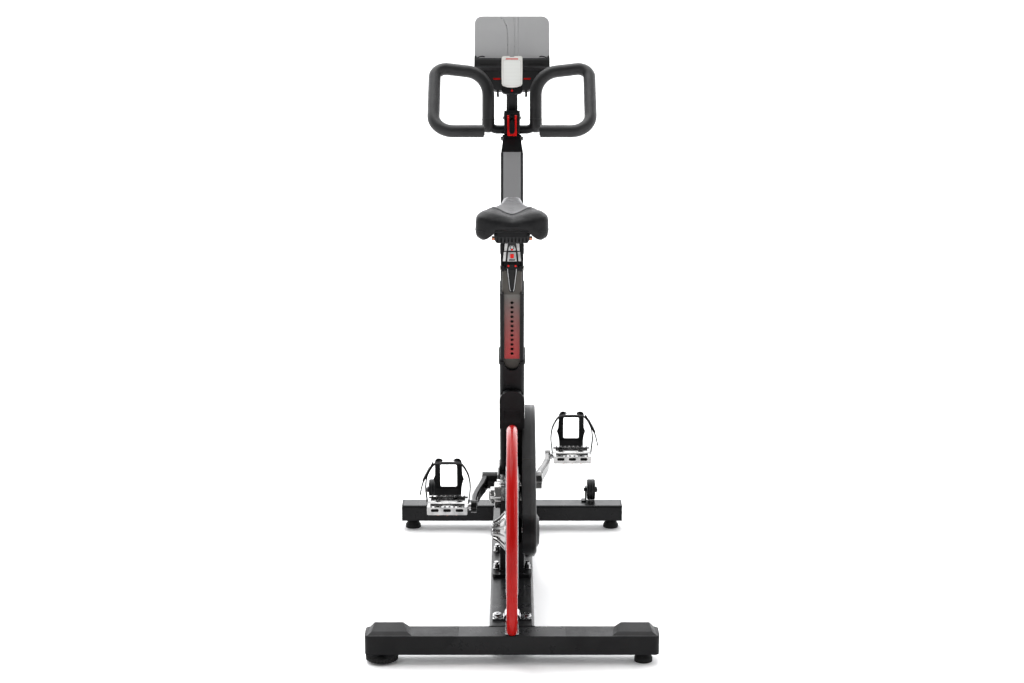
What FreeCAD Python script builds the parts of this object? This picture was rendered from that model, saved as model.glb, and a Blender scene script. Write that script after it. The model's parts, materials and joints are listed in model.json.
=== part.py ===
"""Indoor exercise bike with a rear flywheel, modelled as separate pieces.

Millimetres. +X is the rider's right, +Y is forward, +Z is up. The origin is on the
floor, in the middle of the bike's footprint.
"""
import FreeCAD, Part
import math
import os

V = FreeCAD.Vector

# ---- Driving dimensions -------------------------------------------------------------
BAR_HALF_REAR = 330.0          # half length of the rear stabiliser
BAR_HALF_FRONT = 299.0         # half length of the front stabiliser
BAR_DEPTH = 60.0               # stabiliser section, front to back
BAR_LOW = 24.0                 # underside of the stabilisers and the beam
BAR_TOP = 68.5                 # top of the stabilisers and the beam
REAR_BAR_Y = -456.0            # rear face of the rear stabiliser
FRONT_BAR_Y = 466.0            # rear face of the front stabiliser
BEAM_HALF = 51.0               # half width of the base beam
WALL = 2.5                     # wall of the steel tubes

BB_Y = 22.0                    # crank axis
BB_Z = 282.0
CRANK_LENGTH = 170.0
CRANK_ANGLE = 3.7              # rise of the right arm above level, degrees
PEDAL_X = 152.0                # centre of a pedal from the middle of the bike
PEDAL_HALF = 47.5

WHEEL_Y = -296.0               # flywheel axis
WHEEL_Z = 262.0
WHEEL_R = 170.0
RIM_HALF = 13.0
GUARD_RING_R = 231.7           # centre line of the guard tube
GUARD_TUBE_R = 12.3
GUARD_BACK = 9.0               # centre of the guard ring behind the flywheel axis

PULLEY_R = 144.0               # crank pulley
SMALL_PULLEY_R = 24.0          # flywheel pulley, so the ratio is six
BELT_X0 = 39.5
BELT_X1 = 48.5
BELT_GAP = 0.3                 # belt stands off the pulleys it drives

SEAT_LEAN = 20.0               # seat tube, back from upright
SEAT_BASE = (19.0, 285.0)      # a point on the seat tube's axis, (y, z)
FRONT_LEAN = 22.0              # front tube, forward from upright
FRONT_BASE = (30.0, 285.0)
SEAT_TUBE_TOP = 361.0          # along the seat tube from its base point
CHANNEL_TOP = 554.0
POST_LOW = 250.0
POST_TOP = 620.0
POST_HALF = 22.5
SLIDE_HALF = 23.0              # half of the square hole that the seat post slides in
HOLE_PITCH = 12.7

FRONT_TAPER = 816.0            # along the front tube from its base point
FRONT_TOP = 856.0
STEM_LOW = 864.0
STEM_TOP = 923.0
BAR_AXIS = (355.0, 1104.0)     # handlebar where the clamp holds it, (y, z)
BAR_R = 11.0
GRIP_R = 15.5

TABLET_BASE = (456.0, 1271.0)  # lower edge of the tablet plate, (y, z)
TABLET_LEAN = 30.0
DISPLAY_MID = (330.0, 1243.0)
DISPLAY_BACK = 16.0            # back face of the display from its middle plane
DISPLAY_LEAN = 20.0


# ---- Shape helpers ------------------------------------------------------------------
def block(x0, x1, y0, y1, z0, z1):
    return Part.makeBox(x1 - x0, y1 - y0, z1 - z0, V(x0, y0, z0))


def rod_x(radius, x0, x1, y, z):
    return Part.makeCylinder(radius, x1 - x0, V(x0, y, z), V(1, 0, 0))


def rod_y(radius, y0, y1, x, z):
    return Part.makeCylinder(radius, y1 - y0, V(x, y0, z), V(0, 1, 0))


def rod_z(radius, z0, z1, x, y):
    return Part.makeCylinder(radius, z1 - z0, V(x, y, z0), V(0, 0, 1))


def cone_x(r0, r1, x0, x1, y, z):
    return Part.makeCone(r0, r1, x1 - x0, V(x0, y, z), V(1, 0, 0))


def polygon(points):
    corners = [V(*p) for p in points]
    return Part.makePolygon(corners + [corners[0]])


def side_prism(points, x0, x1):
    """Outline of (y, z) points, extruded along X."""
    face = Part.Face(polygon([(x0, y, z) for y, z in points]))
    return face.extrude(V(x1 - x0, 0, 0))


def face_prism(points, y0, y1):
    """Outline of (x, z) points, extruded along Y."""
    face = Part.Face(polygon([(x, y0, z) for x, z in points]))
    return face.extrude(V(0, y1 - y0, 0))


def plan_prism(points, z0, z1):
    """Outline of (x, y) points, extruded along Z."""
    face = Part.Face(polygon([(x, y, z0) for x, y in points]))
    return face.extrude(V(0, 0, z1 - z0))


def loft(*rings):
    return Part.makeLoft([polygon(ring) for ring in rings], True, True)


def fuse(first, *others):
    return first.fuse(list(others)).removeSplitter()


def soften(shape, radius, direction, keep=None):
    """Round the straight edges that run along a direction."""
    edges = []
    for edge in shape.Edges:
        if len(edge.Vertexes) != 2 or not isinstance(edge.Curve, Part.Line):
            continue
        along = (edge.Vertexes[1].Point - edge.Vertexes[0].Point).normalize()
        if abs(along.dot(V(*direction))) > 0.999 and (keep is None or keep(edge.CenterOfMass)):
            edges.append(edge)
    return shape.makeFillet(radius, edges)


def mirrored(shape):
    return shape.mirror(V(0, 0, 0), V(1, 0, 0))


def leaned(shape, base, degrees):
    """Tilt a shape drawn about the origin and stand it on a (y, z) point."""
    tilted = shape.copy()
    tilted.rotate(V(0, 0, 0), V(1, 0, 0), degrees)
    tilted.translate(V(0, base[0], base[1]))
    return tilted


def on_seat(shape):
    return leaned(shape, SEAT_BASE, SEAT_LEAN)


def on_front(shape):
    return leaned(shape, FRONT_BASE, -FRONT_LEAN)


def on_tablet(shape):
    return leaned(shape, TABLET_BASE, -TABLET_LEAN)


def on_display(shape):
    return leaned(shape, DISPLAY_MID, -DISPLAY_LEAN)


def square_tube(half_x, half_y, z0, z1, radius):
    return soften(block(-half_x, half_x, -half_y, half_y, z0, z1), radius, (0, 0, 1))


def two_circles(r_crank, r_wheel, x0, x1):
    """Outline that wraps a circle at the crank axis and one at the flywheel axis."""
    dy = WHEEL_Y - BB_Y
    dz = WHEEL_Z - BB_Z
    span = math.hypot(dy, dz)
    base = math.atan2(dz, dy)
    spread = math.acos((r_crank - r_wheel) / span)
    points = {}
    for name, cy, cz, radius in (("crank", BB_Y, BB_Z, r_crank), ("wheel", WHEEL_Y, WHEEL_Z, r_wheel)):
        for side in (1, -1):
            turn = base + side * spread
            points[name, side] = V(x0, cy + radius * math.cos(turn), cz + radius * math.sin(turn))
    crank_back = V(x0, BB_Y - r_crank * math.cos(base), BB_Z - r_crank * math.sin(base))
    wheel_back = V(x0, WHEEL_Y + r_wheel * math.cos(base), WHEEL_Z + r_wheel * math.sin(base))
    edges = [
        Part.Arc(points["crank", 1], crank_back, points["crank", -1]).toShape(),
        Part.LineSegment(points["crank", -1], points["wheel", -1]).toShape(),
        Part.Arc(points["wheel", -1], wheel_back, points["wheel", 1]).toShape(),
        Part.LineSegment(points["wheel", 1], points["crank", 1]).toShape(),
    ]
    return Part.Face(Part.Wire(edges)).extrude(V(x1 - x0, 0, 0))


def rounded_path(points, radii):
    """Straight runs joined by tangent arcs, as a list of edges."""
    corners = [V(*p) for p in points]
    edges = []
    start = corners[0]
    for index in range(1, len(corners) - 1):
        corner = corners[index]
        back = (corners[index - 1] - corner).normalize()
        ahead = (corners[index + 1] - corner).normalize()
        half = back.getAngle(ahead) / 2
        reach = radii[index - 1] / math.tan(half)
        inset = radii[index - 1] / math.sin(half) - radii[index - 1]
        first = corner + back * reach
        last = corner + ahead * reach
        middle = corner + (back + ahead).normalize() * inset
        edges.append(Part.LineSegment(start, first).toShape())
        edges.append(Part.Arc(first, middle, last).toShape())
        start = last
    edges.append(Part.LineSegment(start, corners[-1]).toShape())
    return edges


def pipe(edges, radius):
    """Round rod swept along a path of edges."""
    start = edges[0].Vertexes[0].Point
    heading = (edges[0].Vertexes[1].Point - start).normalize()
    ring = Part.Wire(Part.Circle(start, heading, radius).toShape())
    return Part.Wire(edges).makePipeShell([ring], True, True)


def save(name, *solids):
    shape = solids[0] if len(solids) == 1 else Part.makeCompound(list(solids))
    if not shape.isValid() or len(shape.Solids) < 1:
        print("CHECK", name, shape.isValid(), len(shape.Solids))
    shape.exportStep("parts/" + name + ".step")


# ---- Base ---------------------------------------------------------------------------
def base_beam():
    y1 = REAR_BAR_Y + BAR_DEPTH
    outer = soften(block(-BEAM_HALF, BEAM_HALF, y1, FRONT_BAR_Y, BAR_LOW, BAR_TOP), 6, (0, 1, 0))
    bore = BEAM_HALF - WALL
    inner = block(-bore, bore, y1 - 1, FRONT_BAR_Y + 1, BAR_LOW + WALL, BAR_TOP - WALL)
    return outer.cut(inner)


def front_bar():
    half = BAR_HALF_FRONT - 5
    y1 = FRONT_BAR_Y + BAR_DEPTH
    outer = soften(block(-half, half, FRONT_BAR_Y, y1, BAR_LOW, BAR_TOP), 6, (1, 0, 0))
    inner = block(-half - 1, half + 1, FRONT_BAR_Y + WALL, y1 - WALL, BAR_LOW + WALL, BAR_TOP - WALL)
    return outer.cut(inner)


def front_end_cap():
    half = BAR_HALF_FRONT - 5
    y1 = FRONT_BAR_Y + BAR_DEPTH
    lid = soften(block(half, BAR_HALF_FRONT, FRONT_BAR_Y, y1, BAR_LOW, BAR_TOP), 6, (1, 0, 0))
    plug = block(half - 18, half, FRONT_BAR_Y + WALL, y1 - WALL, BAR_LOW + WALL, BAR_TOP - WALL)
    return fuse(lid, plug)


SEAM_TOP = 120.0               # where the plastic end covers start, on top
SEAM_LOW = 165.0               # and on the underside
COVER_WALL = 3.0
CORE_HALF = 318.0


def rear_core(grow, half):
    y0 = REAR_BAR_Y + COVER_WALL - grow
    y1 = REAR_BAR_Y + BAR_DEPTH - COVER_WALL + grow
    return block(-half, half, y0, y1, BAR_LOW + COVER_WALL - grow, BAR_TOP - COVER_WALL + grow)


def rear_bar():
    y1 = REAR_BAR_Y + BAR_DEPTH
    middle = [(-SEAM_TOP, BAR_TOP), (SEAM_TOP, BAR_TOP), (SEAM_LOW, BAR_LOW), (-SEAM_LOW, BAR_LOW)]
    outer = fuse(face_prism(middle, REAR_BAR_Y, y1), rear_core(0, CORE_HALF))
    return outer.cut(rear_core(-WALL, CORE_HALF + 1))


def rear_cover():
    y1 = REAR_BAR_Y + BAR_DEPTH
    end = BAR_HALF_REAR
    outline = [(SEAM_TOP, BAR_TOP), (end, BAR_TOP), (end, BAR_LOW), (SEAM_LOW, BAR_LOW)]
    shell = face_prism(outline, REAR_BAR_Y, y1)
    shell = soften(shell, 12, (0, 0, 1), lambda p: p.x > end - 1)
    low = BAR_TOP - 1.0
    pad = loft(
        [(222, REAR_BAR_Y + 2, low), (326, REAR_BAR_Y + 2, low), (322, y1 - 1, low), (230, y1 - 1, low)],
        [(236, REAR_BAR_Y + 15, 74), (314, REAR_BAR_Y + 15, 74), (310, y1 - 6, 81), (246, y1 - 6, 81)],
    )
    return fuse(shell, pad).cut(rear_core(0, CORE_HALF))


def small_foot(x, y):
    pad = rod_z(20.5, 0, 8, x, y)
    neck = Part.makeCone(20.5, 14, 10, V(x, y, 8), V(0, 0, 1))
    return fuse(pad, neck, rod_z(12, 18, BAR_LOW, x, y))


REAR_FOOT_X = 296.0
ADJUSTER_X = -293.0
REAR_FOOT_Y = -428.0
FRONT_FOOT_X = 270.0
FRONT_FOOT_Y = 496.0


def levelling_adjuster():
    x = ADJUSTER_X
    disc = rod_z(36.5, 6, 15, x, REAR_FOOT_Y)
    for index in range(30):
        turn = math.radians(12 * index)
        notch = rod_z(2.2, 5, 16, x + 37.2 * math.cos(turn), REAR_FOOT_Y + 37.2 * math.sin(turn))
        disc = disc.cut(notch)
    foot = rod_z(22, 0, 6, x, REAR_FOOT_Y)
    return fuse(disc, foot, rod_z(7, 15, BAR_LOW - 0.4, x, REAR_FOOT_Y))


ROLLER_X = 216.0
ROLLER_Y = 521.0
ROLLER_Z = 98.0
ROLLER_R = 28.0


def roller():
    body = rod_x(ROLLER_R, ROLLER_X - 11, ROLLER_X + 11, ROLLER_Y, ROLLER_Z)
    body = body.makeFillet(3, [e for e in body.Edges if isinstance(e.Curve, Part.Circle)])
    for side in (-1, 1):
        dish = Part.makeTorus(17, 4, V(ROLLER_X + side * 12.5, ROLLER_Y, ROLLER_Z), V(1, 0, 0))
        body = body.cut(dish)
    return body.cut(rod_x(5.05, ROLLER_X - 12, ROLLER_X + 12, ROLLER_Y, ROLLER_Z))


def roller_bracket():
    """Cheek on the inner side of the roller, with its stub axle."""
    x1 = ROLLER_X - 12.5
    outline = [(500, BAR_TOP), (524, BAR_TOP), (534, 92), (532, 106), (512, 108), (502, 88)]
    cheek = side_prism(outline, x1 - 4, x1)
    flange = block(x1 - 14, x1, 500, 522, BAR_TOP, BAR_TOP + 4)
    axle = rod_x(5, x1 - 7, ROLLER_X + 12, ROLLER_Y, ROLLER_Z)
    head = rod_x(8, ROLLER_X + 12, ROLLER_X + 16, ROLLER_Y, ROLLER_Z)
    return fuse(cheek, flange, axle, head)


# ---- Main frame ---------------------------------------------------------------------
FOOT_TOP = BAR_TOP + 8.0
COLUMN_HALF = 29.0
COLUMN = [(-62, FOOT_TOP), (106, FOOT_TOP), (88, 300), (66, 345), (-8, 345), (-38, 312)]
SHELL_R = 32.0
SHELL_HALF = 34.0
CRANK_BEARING_R = 22.0          # outside of the crank bearings
SPINDLE_R = 12.0
BOLT_PLACES = [(38, -42), (-38, -42), (38, 84), (-38, 84)]


def frame_foot():
    return soften(block(-BEAM_HALF + 3, BEAM_HALF - 3, -85, 126, BAR_TOP, FOOT_TOP), 9, (0, 0, 1))


def column_outside():
    body = side_prism(COLUMN, -COLUMN_HALF, COLUMN_HALF)
    return fuse(body, rod_x(SHELL_R, -SHELL_HALF, SHELL_HALF, BB_Y, BB_Z))


def frame_column():
    hollow_half = COLUMN_HALF - 4
    outline = [(-56, FOOT_TOP - 1), (100, FOOT_TOP - 1), (86, 238), (-30, 238)]
    hollow = side_prism(outline, -hollow_half, hollow_half)
    tunnel = rod_x(CRANK_BEARING_R, -SHELL_HALF - 1, SHELL_HALF + 1, BB_Y, BB_Z)
    return column_outside().cut(hollow).cut(tunnel)


PADDLE_PIVOT = (-39.0, 284.0)  # seat paddle's pin in the seat tube's own frame, (y, z)
PADDLE_PIN_R = 3.0


def seat_tube_outside():
    return on_seat(square_tube(29, 32, -40, SEAT_TUBE_TOP, 9))


def seat_tube():
    body = square_tube(29, 32, -40, SEAT_TUBE_TOP, 9)
    body = body.cut(block(-SLIDE_HALF, SLIDE_HALF, -SLIDE_HALF, SLIDE_HALF, 172, SEAT_TUBE_TOP + 1))
    body = body.cut(rod_y(17, -33, -SLIDE_HALF + 0.5, 0, SEAT_TUBE_TOP))
    body = body.cut(block(-24, 24, -26, 26, 70, 165))
    lug = block(-6, 6, -43, -31, 278, 290)
    pin = rod_x(PADDLE_PIN_R, -27, 27, PADDLE_PIVOT[0], PADDLE_PIVOT[1])
    return on_seat(fuse(body, lug, pin)).cut(column_outside())


def seat_guide_channel():
    body = square_tube(28, 30, SEAT_TUBE_TOP, CHANNEL_TOP, 5)
    body = body.cut(block(-SLIDE_HALF, SLIDE_HALF, -SLIDE_HALF, SLIDE_HALF, 300, CHANNEL_TOP + 1))
    return on_seat(body.cut(block(-19, 19, -31, -20, 300, CHANNEL_TOP + 1)))


def seat_collar():
    """Plastic band round the foot of the guide channel, open at the back."""
    band = square_tube(31, 33, SEAT_TUBE_TOP, SEAT_TUBE_TOP + 9, 8)
    band = band.cut(square_tube(28, 30, SEAT_TUBE_TOP - 1, SEAT_TUBE_TOP + 10, 5))
    return on_seat(band.cut(block(-19, 19, -34, -20, SEAT_TUBE_TOP - 1, SEAT_TUBE_TOP + 10)))


FRONT_HALF_X = 28.5
FRONT_HALF_Y = 31.0
FRONT_SLIDE = 18.8             # half of the square hole for the handlebar post
FRONT_POST_HALF = 18.4


def front_tube():
    body = square_tube(FRONT_HALF_X, FRONT_HALF_Y, 0, FRONT_TAPER, 9)
    x0, y0, x1, y1 = 27.5, 30.0, 21.6, 23.5
    taper = loft(
        [(-x0, -y0, FRONT_TAPER), (x0, -y0, FRONT_TAPER), (x0, y0, FRONT_TAPER), (-x0, y0, FRONT_TAPER)],
        [(-x1, -y1, FRONT_TOP), (x1, -y1, FRONT_TOP), (x1, y1, FRONT_TOP), (-x1, y1, FRONT_TOP)],
    )
    body = fuse(body, taper)
    body = body.cut(block(-FRONT_SLIDE, FRONT_SLIDE, -FRONT_SLIDE, FRONT_SLIDE, 480, FRONT_TOP + 1))
    body = body.cut(block(-25, 25, -27, 27, 120, 470))
    return on_front(body).cut(column_outside()).cut(seat_tube_outside())


def front_collar():
    band = square_tube(24, 26, FRONT_TOP, FRONT_TOP + 6, 4)
    ears = block(-28, 28, -8, 8, FRONT_TOP, FRONT_TOP + 6)
    hole = block(-FRONT_SLIDE, FRONT_SLIDE, -FRONT_SLIDE, FRONT_SLIDE, FRONT_TOP - 1, FRONT_TOP + 7)
    return on_front(fuse(band, ears).cut(hole))


def frame_fasteners():
    """Hexagon bolts of the frame foot and screws of the belt cover."""
    solids = []
    for x, y in BOLT_PLACES:
        turns = [k * math.pi / 3 for k in range(6)]
        hexagon = [(x + 7.5 * math.cos(turn), y + 7.5 * math.sin(turn)) for turn in turns]
        washer = rod_z(8.6, FOOT_TOP, FOOT_TOP + 2, x, y)
        nut = plan_prism(hexagon, FOOT_TOP + 2, FOOT_TOP + 12)
        solids.append(fuse(washer, nut, rod_z(5, FOOT_TOP + 12, FOOT_TOP + 18, x, y)))
    for y, z in SCREW_PLACES:
        solids.append(rod_x(4.5, COVER_OUT, COVER_OUT + 2, y, z).cut(
            rod_x(2, COVER_OUT + 0.8, COVER_OUT + 3, y, z)))
    return solids


# ---- Flywheel, its guard and its arm ------------------------------------------------
ARM_X0 = 24.0
ARM_X1 = 31.0
AXLE_R = 8.5
WHEEL_BEARING_R = 19.0


def flywheel():
    rim = rod_x(WHEEL_R, -RIM_HALF, RIM_HALF, WHEEL_Y, WHEEL_Z)
    rim = rim.makeFillet(3, [e for e in rim.Edges if isinstance(e.Curve, Part.Circle)])
    for x0 in (-RIM_HALF - 1, 4.5):
        recess = rod_x(142, x0, x0 + 9.5, WHEEL_Y, WHEEL_Z)
        rim = rim.cut(recess)
    return rim.cut(rod_x(30, -20, 20, WHEEL_Y, WHEEL_Z))


def flywheel_hub():
    """Polished hub with ribbed cones, turning with its axle."""
    y, z = WHEEL_Y, WHEEL_Z
    core = rod_x(30, -15, 15, y, z)
    flange = rod_x(46, -15, -4.5, y, z)
    right = cone_x(44, 26, 4.5, 22, y, z)
    steps = [cone_x(44, 30, -27, -15, y, z).mirror(V(-21, 0, 0), V(1, 0, 0)),
             rod_x(27, -31, -27, y, z), rod_x(22, -38, -31, y, z), rod_x(20, -44, -38, y, z)]
    return fuse(core, flange, right, *steps, rod_x(AXLE_R, 20, 52, y, z))


def flywheel_pulley():
    wheel = rod_x(SMALL_PULLEY_R, 38.5, 50, WHEEL_Y, WHEEL_Z)
    return wheel.cut(rod_x(AXLE_R, 38, 51, WHEEL_Y, WHEEL_Z))


def flywheel_arm():
    """Plate on the right of the frame that carries the flywheel's axle."""
    plate = two_circles(62, 34, ARM_X0, ARM_X1)
    plate = plate.cut(rod_x(SHELL_R, ARM_X0 - 1, ARM_X1 + 1, BB_Y, BB_Z))
    plate = plate.cut(rod_x(WHEEL_BEARING_R, ARM_X0 - 1, ARM_X1 + 1, WHEEL_Y, WHEEL_Z))
    lightening = side_prism([(-235, 285), (-235, 245), (-75, 240), (-75, 300)], ARM_X0 - 1, ARM_X1 + 1)
    plate = plate.cut(soften(lightening, 16, (1, 0, 0)))
    return plate.cut(column_outside()).cut(seat_tube_outside())


def bearings():
    solids = []
    for x0, x1 in ((-34, -20), (20, 34)):
        ring = rod_x(CRANK_BEARING_R, x0, x1, BB_Y, BB_Z)
        solids.append(ring.cut(rod_x(SPINDLE_R + 0.05, x0 - 1, x1 + 1, BB_Y, BB_Z)))
    ring = rod_x(WHEEL_BEARING_R, ARM_X0, ARM_X1, WHEEL_Y, WHEEL_Z)
    solids.append(ring.cut(rod_x(AXLE_R + 0.05, ARM_X0 - 1, ARM_X1 + 1, WHEEL_Y, WHEEL_Z)))
    return solids


GUARD_LEAVES = 50.0            # where the guard tube leaves its circle, degrees above level


def guard_point(degrees, radius=GUARD_RING_R):
    turn = math.radians(degrees)
    return V(0, WHEEL_Y - GUARD_BACK + radius * math.cos(turn), WHEEL_Z + radius * math.sin(turn))


def flywheel_guard():
    """Bent tube from the rear stabiliser, over the flywheel, to the seat tube."""
    foot_turn = 184 + math.degrees(math.asin((WHEEL_Z - BAR_TOP) / GUARD_RING_R))
    start = guard_point(foot_turn)
    turn = math.radians(GUARD_LEAVES)
    leave = guard_point(GUARD_LEAVES)
    end = leave + V(0, math.sin(turn), -math.cos(turn)) * 150
    edges = [
        Part.Arc(start, guard_point((GUARD_LEAVES + foot_turn) / 2), leave).toShape(),
        Part.LineSegment(leave, end).toShape(),
    ]
    heading = V(0, math.sin(math.radians(foot_turn)), -math.cos(math.radians(foot_turn)))
    ring = Part.Wire(Part.Circle(start, heading, GUARD_TUBE_R).toShape())
    tube = Part.Wire(edges).makePipeShell([ring], True, True)
    tube = tube.cut(block(-40, 40, -520, -380, 0, BAR_TOP))
    return tube.cut(seat_tube_outside()).cut(column_outside())


def guard_bracket():
    """Foot strip of the guard and the arched clip that bolts it to the beam."""
    strip = block(-15, 15, -450, -362, BAR_TOP, BAR_TOP + 4).cut(flywheel_guard())
    ears = block(-44, 44, -362, -326, BAR_TOP, BAR_TOP + 4)
    arch = rod_y(20, -362, -326, 0, BAR_TOP).cut(rod_y(15, -370, -320, 0, BAR_TOP))
    arch = arch.cut(block(-40, 40, -370, -320, 0, BAR_TOP))
    clip = fuse(strip, ears.cut(rod_y(15, -370, -320, 0, BAR_TOP)), arch)
    for side in (-1, 1):
        head = rod_z(8.5, BAR_TOP + 4, BAR_TOP + 11, side * 33, -344)
        clip = fuse(clip, head.cut(rod_z(3.5, BAR_TOP + 7, BAR_TOP + 12, side * 33, -344)))
    return clip


# ---- Belt drive ---------------------------------------------------------------------
COVER_IN = 31.5
COVER_LIP_IN = 23.6
COVER_SPLIT = 44.0
COVER_OUT = 56.0
COVER_R_CRANK = 186.0
COVER_R_WHEEL = 53.0
COVER_SKIN = 2.5
SCREW_PLACES = [(-250, 262), (-120, 352), (-110, 190), (60, 420), (60, 144), (160, 282)]


def cover_hollow():
    return two_circles(COVER_R_CRANK - COVER_SKIN, COVER_R_WHEEL - COVER_SKIN,
                       COVER_IN + COVER_SKIN, COVER_OUT - COVER_SKIN)


def cover_lip():
    """Edge of the cover that reaches in behind the seat tube."""
    lip = two_circles(COVER_R_CRANK, COVER_R_WHEEL, COVER_LIP_IN, COVER_IN)
    lip = lip.cut(two_circles(COVER_R_CRANK - 3, COVER_R_WHEEL - 3, COVER_LIP_IN - 1, COVER_IN + 1))
    return lip.common(block(20, 40, -360, -40, 205, 480)).cut(seat_tube_outside()).cut(column_outside())


def belt_cover_inner():
    body = two_circles(COVER_R_CRANK, COVER_R_WHEEL, COVER_IN, COVER_SPLIT).cut(cover_hollow())
    body = body.cut(rod_x(SHELL_R + 0.5, 30, 37, BB_Y, BB_Z))
    body = body.cut(rod_x(IDLER_SEAT_R, 30, 37, *idler_place()))
    return fuse(body.cut(rod_x(12, 30, 37, WHEEL_Y, WHEEL_Z)), cover_lip())


def belt_cover_outer():
    body = two_circles(COVER_R_CRANK, COVER_R_WHEEL, COVER_SPLIT, COVER_OUT)
    rim = [e for e in body.Edges if abs(e.CenterOfMass.x - COVER_OUT) < 0.01]
    body = body.makeFillet(6, rim)
    body = body.cut(two_circles(COVER_R_CRANK - 9, COVER_R_WHEEL - 9, 40, COVER_OUT - COVER_SKIN))
    body = body.cut(two_circles(COVER_R_CRANK - COVER_SKIN, COVER_R_WHEEL - COVER_SKIN, 40, COVER_SPLIT + 5))
    boss = cone_x(60, 48, COVER_OUT - 0.5, COVER_OUT + 2, BB_Y, BB_Z)
    cap = cone_x(40, 30, COVER_OUT - 0.5, COVER_OUT + 6, WHEEL_Y, WHEEL_Z)
    cap = cap.cut(rod_x(20, COVER_OUT - 5, COVER_OUT + 3, WHEEL_Y, WHEEL_Z))
    return fuse(body, boss, cap).cut(rod_x(22, 40, 70, BB_Y, BB_Z))


def drive_belt():
    outer = two_circles(PULLEY_R + BELT_GAP + 3, SMALL_PULLEY_R + BELT_GAP + 3, BELT_X0, BELT_X1)
    return outer.cut(two_circles(PULLEY_R + BELT_GAP, SMALL_PULLEY_R + BELT_GAP, BELT_X0 - 1, BELT_X1 + 1))


def crank_pulley():
    wheel = rod_x(PULLEY_R, BELT_X0 - 1, BELT_X1 + 1, BB_Y, BB_Z)
    for x0 in (BELT_X0 - 2, BELT_X1 - 2):
        wheel = wheel.cut(rod_x(PULLEY_R - 12, x0, x0 + 4, BB_Y, BB_Z).cut(rod_x(30, x0, x0 + 4, BB_Y, BB_Z)))
    for k in range(5):
        turn = math.radians(72 * k + 36)
        wheel = wheel.cut(rod_x(28, 30, 60, BB_Y + 88 * math.cos(turn), BB_Z + 88 * math.sin(turn)))
    return wheel.cut(rod_x(SPINDLE_R, 30, 60, BB_Y, BB_Z))


IDLER_R = 10.0
IDLER_SEAT_R = 9.0


def idler_place():
    """Centre of the idler, which rolls on the outside of the belt's lower run."""
    dy, dz = WHEEL_Y - BB_Y, WHEEL_Z - BB_Z
    span = math.hypot(dy, dz)
    spread = math.acos((PULLEY_R - SMALL_PULLEY_R) / span)
    turn = math.atan2(dz, dy) + spread
    away = (math.cos(turn), math.sin(turn))
    reach = SMALL_PULLEY_R + 2 * BELT_GAP + 3 + IDLER_R
    along = 62.0
    return (WHEEL_Y + reach * away[0] - along * away[1], WHEEL_Z + reach * away[1] + along * away[0])


def idler_pulley():
    y, z = idler_place()
    body = fuse(rod_x(IDLER_R, BELT_X0, BELT_X1, y, z), rod_x(IDLER_R + 2.5, 38.3, BELT_X0, y, z))
    return body.cut(rod_x(5.05, 38, 50, y, z))


def idler_arm():
    """Pin of the idler with its tensioner tab on the flywheel arm."""
    y, z = idler_place()
    pin = rod_x(5, ARM_X1, BELT_X1 + 2, y, z)
    return fuse(pin, rod_x(8, BELT_X1 + 0.6, BELT_X1 + 2.6, y, z), rod_x(IDLER_SEAT_R, ARM_X1, 38, y, z))


# ---- Magnetic brake -----------------------------------------------------------------
BRAKE_PIVOT = (-92.0, 306.0)
MAGNET_AT = (-158.0, 318.0)


def magnet_mount():
    arm = side_prism([(-100, 298), (-84, 296), (-30, 288), (-30, 318), (-60, 324), (-100, 314)], -14, 14)
    arm = arm.cut(rod_x(4.0, -30, 30, *BRAKE_PIVOT))
    pin = rod_x(4.0, -24, 24, *BRAKE_PIVOT)
    return fuse(arm, pin).cut(column_outside()).cut(seat_tube_outside())


def magnet_caliper():
    """Cast fork that straddles the rim, with a cheek on each side of its pivot."""
    y, z = BRAKE_PIVOT
    cheek = [(y - 4, z - 12), (y + 12, z - 6), (y + 12, z + 8), (y - 14, z + 18),
             (MAGNET_AT[0] + 8, MAGNET_AT[1] + 34), (MAGNET_AT[0] - 22, MAGNET_AT[1] + 18),
             (MAGNET_AT[0] - 18, MAGNET_AT[1] - 26), (MAGNET_AT[0] + 14, MAGNET_AT[1] - 38)]
    left = soften(side_prism(cheek, -27, -17.5), 6, (1, 0, 0))
    right = soften(side_prism(cheek, 17.5, 22), 6, (1, 0, 0))
    bridge = side_prism([(y - 24, z - 8), (y - 10, z + 12), (y - 18, z + 20), (y - 32, z + 4)], -20, 20)
    boss = rod_x(31, -40, -26, MAGNET_AT[0] - 2, MAGNET_AT[1] - 15)
    rib = rod_x(20, -50, -39, MAGNET_AT[0] - 2, MAGNET_AT[1] - 15)
    lug = rod_x(12, -36, -23, y - 6, z + 4)
    wheel_sweep = rod_x(WHEEL_R + 4, -RIM_HALF - 3.6, RIM_HALF + 3.6, WHEEL_Y, WHEEL_Z)
    body = fuse(left, right, bridge, boss, rib, lug).cut(wheel_sweep)
    return body.cut(rod_x(4.05, -50, 50, y, z))


def brake_magnets():
    solids = []
    for x0 in (-17.5, 14.5):
        for k in (-1, 0, 1):
            turn = math.radians(22 + 8.5 * k)
            at_y = WHEEL_Y + 152 * math.cos(turn)
            at_z = WHEEL_Z + 152 * math.sin(turn)
            solids.append(rod_x(9, x0, x0 + 3, at_y, at_z))
    return solids


# ---- Cranks and pedals --------------------------------------------------------------
def crank_end(side):
    """Pedal axle's (y, z) on the right arm (1) or the left arm (-1)."""
    turn = math.radians(CRANK_ANGLE)
    return (BB_Y + side * CRANK_LENGTH * math.cos(turn), BB_Z + side * CRANK_LENGTH * math.sin(turn))


HUB_IN = 58.6                  # inner face of the right crank arm's hub
LEFT_BOSS_IN = 35.0            # the left arm's boss reaches in to the bottom bracket
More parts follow.
